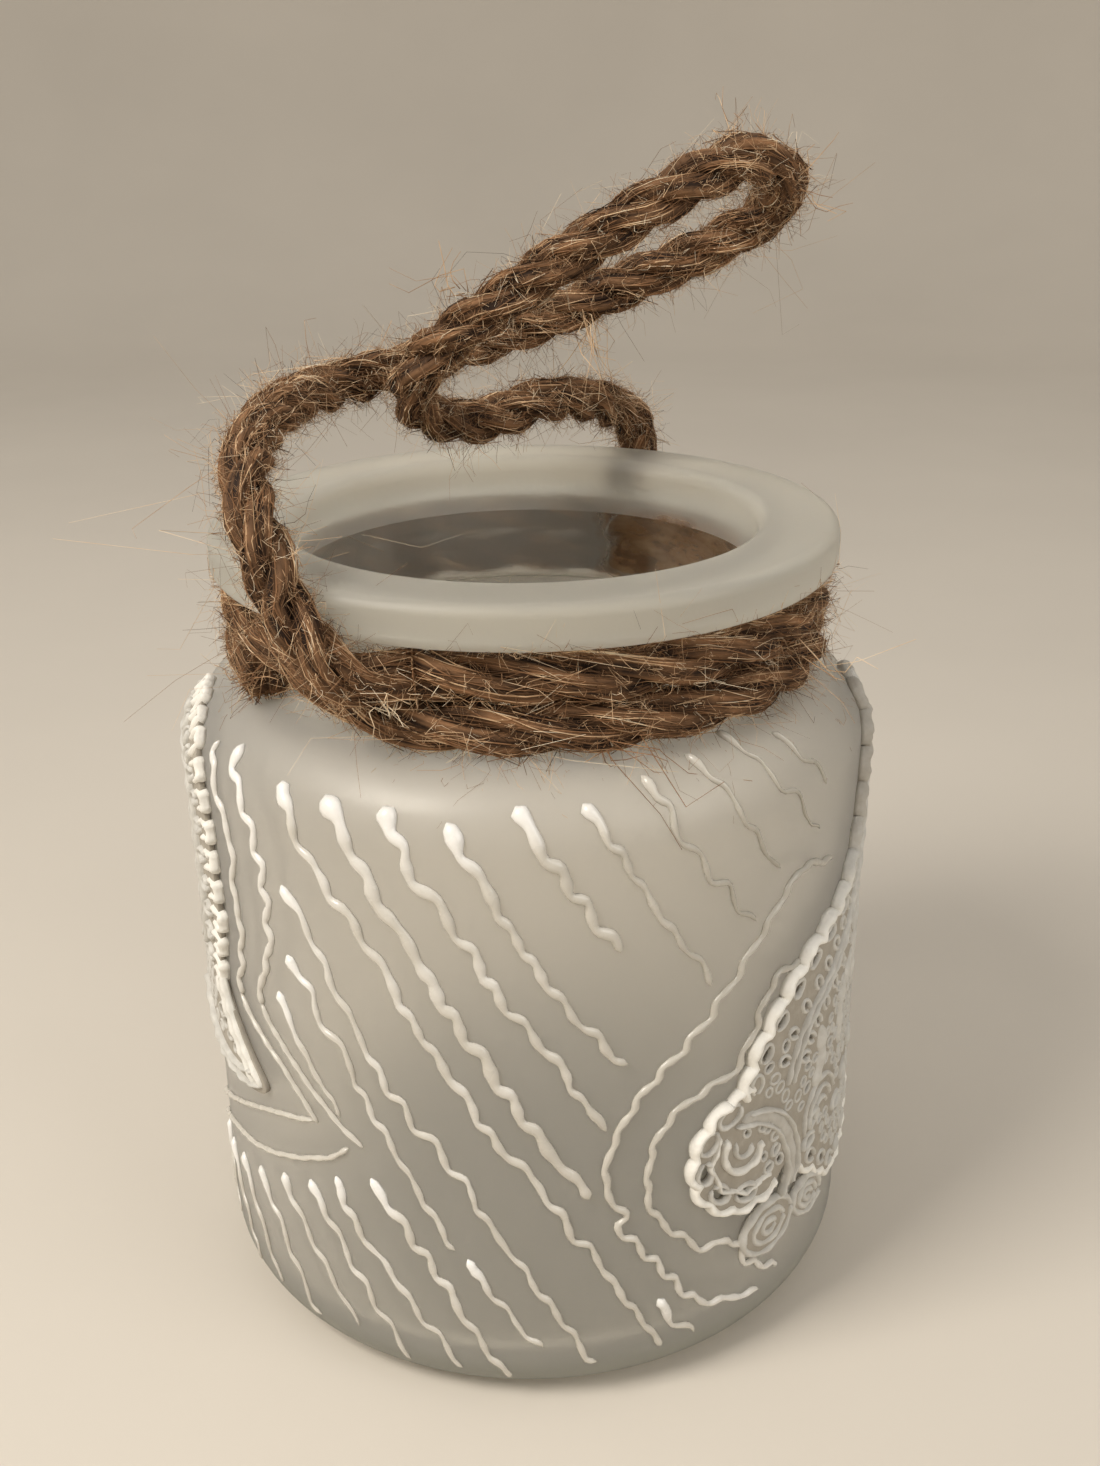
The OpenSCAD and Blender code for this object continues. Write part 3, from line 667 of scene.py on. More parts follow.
def hairs_piece(name, rope, first, last, settings, seed, kind, extra=(), cover=1.0):
    """Loose hairs that stand off the rope in all directions, and the frayed places in extra."""
    least, mean, curly = kind
    rng = np.random.default_rng(seed)
    span = rope.along[last] - rope.along[first]
    count = int(settings.hairs * cover * span / (10 * MM))
    rings = 5
    s = rng.uniform(rope.along[first], rope.along[last], count)
    ply = rng.integers(0, PLIES, count)
    angle = rng.uniform(-1.9, 1.9, count)
    root, heading = np.zeros((count, 3)), np.zeros((count, 3))
    for k in range(PLIES):
        mine = ply == k
        at = rope.steps(s[mine])
        root[mine] = rope.surface(k, at, angle[mine])
        heading[mine] = rope.surface(k, at, angle[mine], np.full(mine.sum(), MM)) - root[mine]
    heading = unit_rows(heading)
    along = np.stack([np.interp(s, rope.along, rope.dirs[:, c]) for c in range(3)], axis=-1)
    lean = rng.normal(0, 1.1, (count, 1))
    aside = rng.normal(0, 0.5, (count, 3))
    heading = unit_rows(heading * rng.uniform(0.3, 1.2, (count, 1)) + along * lean + aside)
    long = (least + rng.exponential(mean, count)) * MM
    long = np.where(rng.random(count) < 0.007, rng.uniform(5, 9, count) * MM, np.minimum(long, 4.5 * MM))
    tone = rng.normal(0.60, 0.24, count)
    for place, way, number, reach, spread, pale in extra:
        place = np.asarray(place, float) * MM
        root = np.vstack([root, place + rng.normal(0, 0.7 * MM, (number, 3))])
        heading = np.vstack([heading, unit_rows(np.asarray(way, float) + rng.normal(0, spread, (number, 3)))])
        long = np.concatenate([long, rng.uniform(0.5, 1.0, number) * reach * MM])
        tone = np.concatenate([tone, rng.normal(pale, 0.08, number)])
    total = len(long)
    t = np.linspace(0, 1, rings)[None, :, None]
    curl = rng.normal(0, 0.6, (total, 1, 3))
    kink, phase = rng.normal(0, 0.34, (total, 1, 3)), rng.uniform(3, 8, (total, 1, 1))
    curl[count:] *= 0.45
    kink[count:] *= 0.5
    bent = curly * (curl * t**2 + kink * np.sin(phase * t))
    lines = root[:, None] + long[:, None, None] * (heading[:, None] * t + bent)
    width = settings.hair_width * rng.uniform(0.3, 0.62, (total, 1))
    width[count:] *= 2.3
    radii = width * np.linspace(1.0, 0.45, rings)[None]
    for _ in range(4):
        beyond = ((lines < LOOKS_LOW) | (lines > LOOKS_HIGH)).any(axis=(1, 2))
        lines[beyond] = root[beyond, None] + 0.6 * (lines[beyond] - root[beyond, None])
    return thin_tubes(name, clear_of_glass(lines), radii, np.clip(tone, 0.08, 1.0))


# The handle stands up from the rim at the left in front, and behind.
# Share of the handle's fibres and hairs that the turns have
TURN_COVER, TURN_HAIRS = 0.87, 0.62
# Frayed places on the handle and on the turns: place in mm, way, hairs, reach in mm, spread, paleness
HANDLE_FRAYS = [
    ((10.0, 22.5, 150.3), (0.22, -0.1, -1.0), 18, 14, 0.10, 0.8),
    ((39.5, 6.0, 169.5), (1.0, -0.4, 0.1), 9, 8, 0.5, 0.7),
    ((30.0, 1.5, 176.0), (-0.2, 0.1, 1.0), 6, 8, 0.6, 0.7),
    ((-9.0, 3.0, 155.0), (-0.8, 0.0, 0.8), 6, 9, 0.5, 0.7),
]
TURN_FRAYS = [
    ((37.8, -26.0, 110.5), (1.0, -0.15, -0.15), 5, 11, 0.25, 0.8),
    ((-17.0, -42.5, 110.0), (-0.1, -0.8, 0.5), 16, 6, 0.5, 0.95),
    ((-38.3, -22.5, 106.0), (-0.7, -0.7, 0.1), 26, 4.5, 0.7, 0.6),
    ((10.0, -45.0, 103.5), (0.9, -0.25, -0.25), 7, 12, 0.2, 0.55),
]


class LANTERN_OT_camera(bpy.types.Operator):
    """Sets the camera in front of the jar, looking down on it"""

    bl_idname = "lantern.camera"
    bl_label = "Camera"

    def execute(self, context):
        focal_px, tall_px = 1600.3, 1466.0
        pitch, yaw, roll = 0.3927, 0.0150, -0.0111
        ahead = Vector((math.sin(yaw) * math.cos(pitch), math.cos(yaw) * math.cos(pitch), -math.sin(pitch)))
        right = Vector((math.cos(yaw), -math.sin(yaw), 0))
        up = right.cross(ahead)
        level = math.cos(roll) * right + math.sin(roll) * up
        upright = -math.sin(roll) * right + math.cos(roll) * up
        data = bpy.data.cameras.new("camera")
        data.lens = focal_px / tall_px * data.sensor_width
        data.clip_start = 0.005
        camera = bpy.data.objects.new("camera", data)
        camera.matrix_world = Matrix((
            (level.x, upright.x, -ahead.x, 0.0), (level.y, upright.y, -ahead.y, -0.2352),
            (level.z, upright.z, -ahead.z, 0.1851), (0, 0, 0, 1),
        ))
        context.scene.collection.objects.link(camera)
        context.scene.camera = camera
        return {"FINISHED"}


class LANTERN_OT_handle(bpy.types.Operator):
    """Lays the handle: plies, fibres and fuzz from the neck over the rim and down behind it"""

    bl_idname = "lantern.handle"
    bl_label = "Rope handle"

    def execute(self, context):
        settings = context.scene.lantern_rope
        rope = Rope(settings)
        jute = jute_material(settings)
        first, last = rope.split, len(rope.line) - 1
        plies = plies_piece("handle_plies", rope, first, last)
        fibres = fibres_piece("handle_fibres", rope, first, last, settings, 11)
        fuzz = hairs_piece("handle_fuzz", rope, first, last, settings, 12, FUZZ, HANDLE_FRAYS)
        lint = hairs_piece("handle_lint", rope, first, last, settings, 13, LINT)
        for piece in (plies, fibres, fuzz, lint):
            put(piece, None, "jute", jute)
            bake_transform(piece)
        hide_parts("handle_rope", "rope_tail")
        return {"FINISHED"}


class LANTERN_OT_turns(bpy.types.Operator):
    """Lays the two turns of rope round the neck, with their cut end"""

    bl_idname = "lantern.turns"
    bl_label = "Rope turns"

    def execute(self, context):
        settings = context.scene.lantern_rope
        rope = Rope(settings)
        jute = bpy.data.materials["jute_fibre"]
        plies = plies_piece("neck_plies", rope, 0, rope.split)
        fibres = fibres_piece("neck_fibres", rope, 0, rope.split, settings, 21, TURN_COVER)
        fuzz = hairs_piece("neck_fuzz", rope, 0, rope.split, settings, 22, FUZZ, TURN_FRAYS, TURN_HAIRS)
        lint = hairs_piece("neck_lint", rope, 0, rope.split, settings, 23, LINT, (), TURN_HAIRS)
        for piece in (plies, fibres, fuzz, lint):
            put(piece, "jar", "jute", jute)
        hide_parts("neck_rope")
        return {"FINISHED"}


# ------------------------------------------------------------------ glass


def arc(x, z, r, start, end, steps):
    """Points of a rounding in a profile, from one angle to another."""
    a = np.radians(np.linspace(start, end, steps + 1))
    return [(x + r * math.cos(t), z + r * math.sin(t)) for t in a]


def jar_profile(glass):
    """Radius and height in millimetres, from the middle of the base outside to the middle inside."""
    sizes = (glass.body, glass.neck, glass.mouth, glass.rim, glass.height)
    body, neck, mouth, rim, top = (round(size / MM, 3) for size in sizes)
    wall, floor, foot, hollow = 3.0, 6.0, 38.0, 1.5
    fillet, lip, soft_lip = 1.5, 1.8, 2.3
    dome = (foot**2 + hollow**2) / (2 * hollow)
    outside = [(x, hollow - dome + math.sqrt(dome**2 - x * x)) for x in (0, 8, 16, 24, 31, 35)]
    outside += [(37.7, 0.12), (38.2, 0.0)] + arc(body - HEEL, HEEL, HEEL, -90, 0, 14)
    outside += [(body, 30), (body, 60)] + arc(body - SHOULDER, SHOULDER_START, SHOULDER, 0, 90, 16)
    outside += arc(neck + fillet, NECK_START + fillet, fillet, 270, 180, 5)
    outside += [(neck, 110), (neck, 116.9), (neck + 0.25, 117.35), (neck + 0.8, RIM_START)]
    outside += arc(rim - lip, RIM_START + lip, lip, -90, 0, 7) + arc(rim - lip, top - lip, lip, 0, 90, 7)
    inside = arc(mouth + soft_lip, top - soft_lip, soft_lip, 90, 180, 8) + [(mouth, 118), (mouth, 115)]
    inside += arc(mouth + fillet, 100.5, fillet, 180, 270, 5)
    inside += arc(body - SHOULDER, SHOULDER_START, SHOULDER - wall, 90, 0, 10)
    inside += [(body - wall, 60), (body - wall, 30)] + arc(body - HEEL, 12, HEEL - wall, 0, -90, 10)
    return outside + inside + [(30, floor), (15, floor), (0, floor)]


def turned_piece(name, profile, steps):
    """Turns a profile round the axis: one vertex is extruded along it, then the line is spun."""
    clear_selection()
    bpy.ops.mesh.primitive_plane_add(size=0.001, location=(0, 0, 0))
    piece = bpy.context.object
    piece.name = piece.data.name = name
    bpy.ops.object.mode_set(mode="EDIT")
    bpy.ops.mesh.select_all(action="SELECT")
    bpy.ops.mesh.merge(type="CENTER")
    x, z = profile[0]
    bpy.ops.transform.translate(value=(x * MM, 0, z * MM))
    for a, b in profile[1:]:
        bpy.ops.mesh.extrude_region_move(TRANSFORM_OT_translate={"value": ((a - x) * MM, 0, (b - z) * MM)})
        x, z = a, b
    bpy.ops.mesh.select_all(action="SELECT")
    bpy.ops.mesh.spin(steps=steps, angle=2 * math.pi, center=(0, 0, 0), axis=(0, 0, 1))
    bpy.ops.mesh.select_all(action="SELECT")
    bpy.ops.mesh.remove_doubles(threshold=0.000004)
    bpy.ops.mesh.normals_make_consistent(inside=False)
    bpy.ops.object.mode_set(mode="OBJECT")
    piece.data.transform(piece.matrix_world)
    piece.matrix_world = Matrix.Identity(4)
    piece.data.shade_smooth()
    return piece


def is_inside(x, y, z):
    """True for a face centre on the inner wall, which isn't etched."""
    r, z = math.hypot(x, y) / MM, z / MM
    if z > 100.4:
        return r < 36.4 and z < 116
    if z > 91 and r > 41:
        return math.hypot(r - 41, z - 91) < 9.5
    if z > 97:
        return z < 100.4
    return z > 5.9 and r < 49.2


class LANTERN_OT_glass(bpy.types.Operator):
    """Turns the jar, etched outside and bare inside"""

    bl_idname = "lantern.glass"
    bl_label = "Glass jar"

    def execute(self, context):
        settings = context.scene.lantern_glass
        jar = turned_piece("satin_jar", jar_profile(settings), 128)
        put(jar, "jar", "frosted_glass", satin_material(settings), bare_glass_material(settings))
        for face in jar.data.polygons:
            face.material_index = int(is_inside(*face.center))
        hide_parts("glass_jar")
        return {"FINISHED"}


# The edge of the wet place on the neck: azimuth and height
GLUE_EDGE = [
    (150, 115.6), (155, 114), (157.5, 111), (156.5, 107.5), (157, 105.2), (152, 103.9), (146, 104.2),
    (139, 102.9),
]


class LANTERN_OT_glue(bpy.types.Operator):
    """Gives the glue its clear, glossy material"""

    bl_idname = "lantern.glue"
    bl_label = "Glue"

    def execute(self, context):
        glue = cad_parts["rope_glue"]
        glue.data.materials.clear()
        clear = glue_material()
        glue.data.materials.append(clear)
        # A bead of glue stands along the edge of the wet place.
        turn, height = smooth_route(GLUE_EDGE, 0.5).T
        line = around(turn, 38.1 + 0.1 * np.sin(1.7 * turn), height + 0.2 * np.sin(2.3 * turn)) * MM
        radii = (0.34 + 0.12 * np.sin(1.1 * np.arange(len(turn)))) * MM
        put(thin_tubes("glue_edge", line[None], radii[None], np.ones(1), 8), "jar", "clear_glue", clear)
        return {"FINISHED"}


# ------------------------------------------------------------------ drawing on the glass

def wrap(flat, height):
    """Flat drawing to glass: x is millimetres round the jar, y millimetres up its side, height off it."""
    x, v = flat[..., 0], flat[..., 1]
    up = np.clip(v - SHOULDER_START, 0, None) / SHOULDER
    down = np.clip(HEEL - v, 0, None) / HEEL
    tilt = up - down
    r = BODY - SHOULDER * (1 - np.cos(up)) - HEEL * (1 - np.cos(down))
    z = np.clip(v, HEEL, SHOULDER_START) + SHOULDER * np.sin(up) - HEEL * np.sin(down)
    a = x / BODY
    r = r + height * np.cos(tilt)
    return np.stack([r * np.sin(a), -r * np.cos(a), z + height * np.sin(tilt)], axis=-1) * MM


def up_side(z):
    """Way up the side of the glass to a height, over the shoulder's rounding."""
    z = np.asarray(z, float)
    round_up = SHOULDER * np.arcsin(np.clip((z - SHOULDER_START) / SHOULDER, 0, 0.98))
    return np.where(z > SHOULDER_START, SHOULDER_START + round_up, z)


def drawn(points):
    """Azimuth and height pairs as a flat drawing."""
    p = np.asarray(points, float)
    return np.stack([np.radians(p[:, 0]) * BODY, up_side(p[:, 1])], axis=-1)


# Section of a bead, one wide and one high
HALF_ARCH = np.array([[-0.5, -0.05], [-0.49, 0.28], [-0.40, 0.62], [-0.22, 0.91]])
ARCH = np.vstack([HALF_ARCH, [[0, 1.0]], HALF_ARCH[::-1] * (-1, 1)])


def bead_arrays(route, widths, rises, base=0.03):
    """Points and faces of one bead of paint or paste that follows a flat route, rounded at both ends."""
    tangent = unit_rows(np.gradient(route, axis=0))
    across = -left_of(route)
    count = len(ARCH)
    flat = route[:, None] + across[:, None] * (ARCH[None, :, 0] * widths[:, None])[..., None]
    ring = wrap(flat, base + ARCH[None, :, 1] * rises[:, None])
    ends = wrap(
        np.stack([route[0] - tangent[0] * 0.12 * widths[0], route[-1] + tangent[-1] * 0.12 * widths[-1]]),
        base + 0.3 * rises[[0, -1]],
    )
    points = np.vstack([ring.reshape(-1, 3), ends])
    return points, tube_faces(1, len(route), count)


def rounded(n, total, lead):
    """Share of the full width at n points along a bead, with round ends of that length."""
    s = np.linspace(0, total, n)
    end = np.minimum(s, total - s)
    return np.sqrt(np.clip(1 - (1 - np.clip(end / lead, 0, 1)) ** 2, 0.02, 1))


def beads_piece(name, beads):
    """Several beads in one mesh. Each is a route, its widths and rises, how grey it is from thin paint and
    painted shade, and its base.
    """
    points, faces, thin, start = [], [], [], 0
    for route, widths, rises, thinness_and_shade, base in beads:
        p, f = bead_arrays(route, widths, rises, base)
        faces += [[c + start for c in face] for face in f]
        points.append(p)
        thin.append(np.concatenate([np.repeat(thinness_and_shade, len(ARCH)), thinness_and_shade[[0, -1]]]))
        start += len(p)
    thin = np.concatenate(thin)
    return mesh_piece(name, np.vstack(points), faces, thin=thin, shade=1 - thin)


# Degrees round the jar for each millimetre down a stroke
LEAN = 0.69


def stroke(paint, azimuth, head, foot, seed, weight=1.0, thinness_and_shade=0.0, drop=1.0, lean=LEAN):
    """One wavy stroke, from its drop-shaped head down to its foot."""
    rng = np.random.default_rng(1000 + seed)
    start, end = up_side(head), up_side(foot)
    run = lean * BODY * math.pi / 180
    total = (start - end) * math.hypot(1, run)
    n = max(8, int(total / 0.7))
    s = np.linspace(0, total, n)
    way = np.array([run, -1]) / math.hypot(1, run)
    side = np.array([-way[1], way[0]])
    phase = rng.uniform(0, 2 * np.pi)
    turn = phase + 2 * np.pi * s / (paint.wave / MM)
    turn = turn + 0.9 * np.sin(s / 7.3 + seed) + 0.5 * np.sin(s / 3.1 + 2 * seed)
    off = np.sin(turn + 0.45 * np.sin(turn)) * (1 + 0.35 * np.sin(s / 9 + 3 * seed))
    # The pen slips: now and then the line makes a short step aside.
    slips = sum(
        rng.normal(0, 0.5) * (1 / (1 + np.exp(-(s - at) / 0.45)) - 0.5) for at in np.arange(7, total, 6.7)
    )
    off = (off * paint.swing / MM + slips) * eased(s / 5)
    route = np.array([math.radians(azimuth) * BODY, start]) + s[:, None] * way + off[:, None] * side
    width, head_width = paint.width / MM * weight, paint.head / MM * (0.5 + 0.5 * weight) * drop
    swell = 0.2 * np.sin(2 * turn + 1.1) + 0.1 * np.sin(s / 2.3 + seed)
    swell = swell + 0.1 * rng.normal(0, 1, n).cumsum() / math.sqrt(n)
    widths = width * (1 - 0.25 * s / total) * (1 + swell)
    widths = widths + (head_width - width) * (1 - eased((s - 1.6) / 3.2))
    widths *= rounded(n, total, 0.5 * head_width)
    rises = paint.rise / MM * weight ** 0.5 * (0.35 + 0.65 * widths / width) * (1 - 0.2 * s / total)
    fade = thinness_and_shade + 0.32 * eased((s - 2) / 6) + 0.15 * s / total + 0.08 * np.sin(s / 3 + seed)
    return route, widths, np.clip(rises, 0.06, 1.5), np.clip(fade, 0, 1), 0.03


def contour(paint, points, seed, wavy=1.0, weight=0.75, thinness_and_shade=(0.0, 0.0), drop=0.0):
    """A line through chosen places, wavy or plain, with or without a drop of paint at its start."""
    rng = np.random.default_rng(2000 + seed)
    route = smooth_route(drawn(points), 0.7)
    n = len(route)
    s = np.arange(n) * 0.7
    turn = rng.uniform(0, 2 * np.pi) + 2 * np.pi * s / (0.8 * paint.wave / MM) + 0.8 * np.sin(s / 6.1 + seed)
    off = wavy * np.sin(turn + 0.5 * np.sin(turn)) * (1 + 0.4 * np.sin(s / 8 + 2 * seed))
    route = route + (off * paint.swing / MM)[:, None] * left_of(route)
    width = paint.width / MM * weight
    swell = 0.2 * np.sin(2 * turn + 1) + drop * (1 - eased((s - 1.5) / 3))
    widths = width * (1 + swell) * rounded(n, s[-1], width)
    rises = paint.rise / MM * 0.85 * (0.4 + 0.6 * widths / width)
    fade = np.linspace(*thinness_and_shade, n)
    return route, widths, rises, fade, 0.03


# Azimuth and height of the head, height of the foot, weight, and how grey the strokes are: thin paint, with
# painted shade on the strokes towards the right
SHOULDER_STROKES = [
    (-41, 97, 8, 1.0, 0.0), (-32, 97, 38, 1.4, 0.0), (-22, 97, 49, 1.35, 0.0), (-12, 96, 59, 1.25, 0.05),
    (-2, 98, 77, 1.3, 0.1), (8, 98, 69, 0.9, 0.2), (18, 100, 76, 0.75, 0.4), (27, 101, 83, 0.65, 0.5),
    (36, 102, 85, 0.6, 0.55), (46, 100.5, 92, 0.5, 0.7),
]
LOWER_STROKES = [
    (-41, 82, 8, 0.85, 0.0), (-41, 71, 29, 0.85, 0.0), (-44, 64, 47, 0.8, 0.0), (-27, 38, 5, 1.0, 0.0),
    (-34, 36, 6, 0.85, 0.0), (-40, 33, 6, 0.8, 0.0), (-47, 31, 9, 0.75, 0.05), (-55, 28, 7, 0.7, 0.05),
    (-63, 26, 8, 0.65, 0.1), (-71, 24, 7, 0.6, 0.1), (-80, 22, 9, 0.6, 0.1), (-11, 27, 11, 0.8, 0.0),
    (20, 17, 8, 0.9, 0.0),
]
FIRST_BACK_HEAD, STROKE_PITCH = 105, 9.7
BACK_FEET = [8, 38, 9, 52, 8, 30, 10, 46, 8, 22, 12, 30, 46, 60, 74]
FILL_STROKES = 7
# Two wavy lines beside the left applique. They run on as thin plain ones, and turn back under its leaf.
LEFT_INNER = [
    (-61, 97.3), (-60.5, 94.5), (-57.5, 89.5), (-54.3, 83.5), (-55, 77), (-53.7, 71), (-54.5, 65),
    (-56.3, 59),
]
LEFT_INNER_LOW = [(-56, 58.8), (-51, 55), (-44.6, 51.2), (-40, 47.3), (-37, 44.3)]
LEFT_INNER_BACK = [(-38, 44.3), (-50, 41), (-63, 36), (-77, 30)]
LEFT_OUTER = [
    (-54.2, 98.6), (-53, 95.5), (-49.6, 92), (-47, 87), (-45.5, 81), (-45.2, 75), (-45.5, 70), (-48, 65),
    (-49.3, 60),
]
LEFT_OUTER_LOW = [(-49, 60), (-46.9, 57.5), (-42.7, 54), (-37.6, 49.8), (-32, 45.5), (-28, 43)]
LEFT_OUTER_BACK = [(-31, 42), (-35, 39), (-45, 35), (-55, 32), (-65, 30), (-77, 26)]
RIGHT_OUTER = [
    (57, 79), (47, 81), (40, 76), (34, 70), (26, 62), (20, 57), (16, 53), (12, 46), (11, 39), (14, 34),
    (13, 32), (17, 27), (21, 22), (28, 14), (41, 10),
]
RIGHT_INNER = [
    (48, 66), (41, 65), (34, 54), (25, 51), (20, 47), (18, 41), (19, 33), (28, 24), (34, 23), (38, 17),
    (46, 12),
]


class LANTERN_OT_paint(bpy.types.Operator):
    """Draws the wavy strokes and the contour lines in raised paint"""

    bl_idname = "lantern.paint"
    bl_label = "Paint strokes"

    def execute(self, context):
        paint = context.scene.lantern_paint
        white = paint_material(paint)

        def lay(name, replaced, beads):
            piece = put(beads_piece(name, beads), "jar", "contour_paint", white)
            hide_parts(replaced)

        rows = enumerate(SHOULDER_STROKES)
        shoulder = [stroke(paint, a, h, f, i, w, t, 1.0 - 0.6 * t) for i, (a, h, f, w, t) in rows]
        lay("shoulder_paint", "shoulder_strokes", shoulder)
        rows = enumerate(LOWER_STROKES, 20)
        lower = [stroke(paint, a, h, f, i, w, t, 0.72) for i, (a, h, f, w, t) in rows]
        lay("lower_paint", "lower_strokes", lower)
        back = [
            stroke(paint, FIRST_BACK_HEAD + i * STROKE_PITCH, 98, foot, i + 40, 0.85 + 0.3 * (i % 3 == 1))
            for i, foot in enumerate(BACK_FEET)
        ]
        for k in range(FILL_STROKES):
            head = 75 - 9 * k
            azimuth = FIRST_BACK_HEAD + (97 - head) * LEAN - 11 * (k + 1)
            back.append(stroke(paint, azimuth, head, 8, k + 60, 0.85))
        lay("back_paint", "back_strokes", back)
        plain = (LEFT_INNER_LOW, LEFT_INNER_BACK, LEFT_OUTER_LOW, LEFT_OUTER_BACK)
        lay("left_contour_paint", "left_contour_lines", [
            contour(paint, LEFT_INNER, 1, 1.2, 0.9, (0.15, 0.35)),
            contour(paint, LEFT_OUTER, 3, 1.3, 0.95, (0.0, 0.35), 0.6),
            *(contour(paint, points, 10 + k, 0.12, 0.62, (0.4, 0.45)) for k, points in enumerate(plain)),
        ])
        # The right contour lines are greyest at their upper ends: painted shade.
        lay("right_contour_paint", "right_contour_lines", [
            contour(paint, RIGHT_OUTER, 5, 0.9, 0.8, (0.9, 0.2)),
            contour(paint, RIGHT_INNER, 6, 0.9, 0.8, (0.8, 0.2)),
        ])
        return {"FINISHED"}


# ------------------------------------------------------------------ lace

# Outlines in millimetres on the flat drawing, from where the lace's border starts
RIGHT_MAIN = [
    (32.6, 47.5), (33.2, 52), (36, 57), (39.8, 61.4), (44.2, 65.2), (49.5, 68), (56, 70.8), (62, 76),
    (66.8, 83.5), (70.5, 91), (75.5, 98.5), (81, 98.5), (85.5, 91), (87, 80), (86, 66), (83.5, 52),
    (79, 39), (72.5, 28), (64.5, 22), (57, 21.5), (51, 25.5), (45.5, 29.5),
]
RIGHT_TIP = 11
LEFT_LEAF, LEFT_BACK = 10, 15
LOBE_CENTRE, LOBE_RADIUS = (33.4, 38.9), 9.8
# Two scrolls under the flower: centre, radius, squeeze and tilt
SCROLLS = [(38.1, 22.2, 5.4, 0.8, 0.15), (48.6, 21.8, 4.6, 0.68, -0.4)]
LEFT_MAIN = [
    (-75, 100), (-67.6, 98.6), (-61.6, 95.4), (-58.1, 90), (-56.9, 84.5), (-56.1, 80), (-55.4, 75),
    (-54.8, 70.5), (-55.2, 65.5), (-56.4, 60), (-53, 55), (-48.7, 50.4), (-44.2, 45.3), (-49, 43.4),
    (-55, 43.6), (-62, 45.4), (-69, 48.5), (-76, 54), (-80.5, 64), (-82, 75), (-81.5, 86), (-79.5, 95),
]
BORDER_STEP = 0.45


def ring_of(x, y, r, squeeze=1.0, tilt=0.0, count=None):
    """A closed ring on the flat drawing: a circle, or an oval turned by tilt, with its first points again."""
    n = count or max(10, int(2 * math.pi * r / 0.6))
    a = np.linspace(0, 2 * np.pi, n, endpoint=False)
    p = np.stack([r * np.cos(a), r * squeeze * np.sin(a)], axis=-1)
    c, s = math.cos(tilt), math.sin(tilt)
    p = p @ np.array([[c, s], [-s, c]]) + (x, y)
    return np.vstack([p, p[:1]])


def scalloped(points, pitch, depth, closed=False):
    """A border that swells into scallops on its left, and each scallop's middle and way out."""
    p = np.asarray(points, float)
    if closed:
        p = np.vstack([p, p[:1]])
    route = smooth_route(p, BORDER_STEP)
    out = left_of(route)
    total = (len(route) - 1) * BORDER_STEP
    number = max(1, round(total / pitch))
    s = np.linspace(0, number, len(route))
    swell = depth * np.abs(np.sin(np.pi * s)) ** 0.7
    middles = [int((k + 0.5) / number * (len(route) - 1)) for k in range(number)]
    return route + swell[:, None] * out, [(route[m], out[m]) for m in middles]


def within(point, outline):
    """True where a point is inside a closed outline."""
    x, y = point
    a, b = outline, np.roll(outline, -1, axis=0)
    crosses = (a[:, 1] > y) != (b[:, 1] > y)
    rise = np.where(np.abs(b[:, 1] - a[:, 1]) < 1e-9, 1e-9, b[:, 1] - a[:, 1])
    return bool(np.count_nonzero(crosses & (x < (b[:, 0] - a[:, 0]) * (y - a[:, 1]) / rise + a[:, 0])) % 2)


def clear_by(point, others):
    """Distance from a point to the nearest of many."""
    return float(np.min(np.hypot(*(np.asarray(others) - point).T)))


def free_holes(holes, outline, covers):
    """Those holes that lie wholly in an outline, clear of each other and of the sheets that cover it."""
    kept, circles = [], []
    for hole in holes:
        middle = hole.mean(axis=0)
        size = float(np.hypot(*(hole - middle).T).max())
        clear = within(middle, outline) and clear_by(middle, outline) > size + 0.45
        covered = any(within(point, cover) for cover in covers for point in hole)
        crowded = any(math.dist(middle, other) <= size + reach + 0.25 for other, reach in circles)
        if clear and not covered and not crowded:
            kept.append(hole)
            circles.append((middle, size))
    return kept


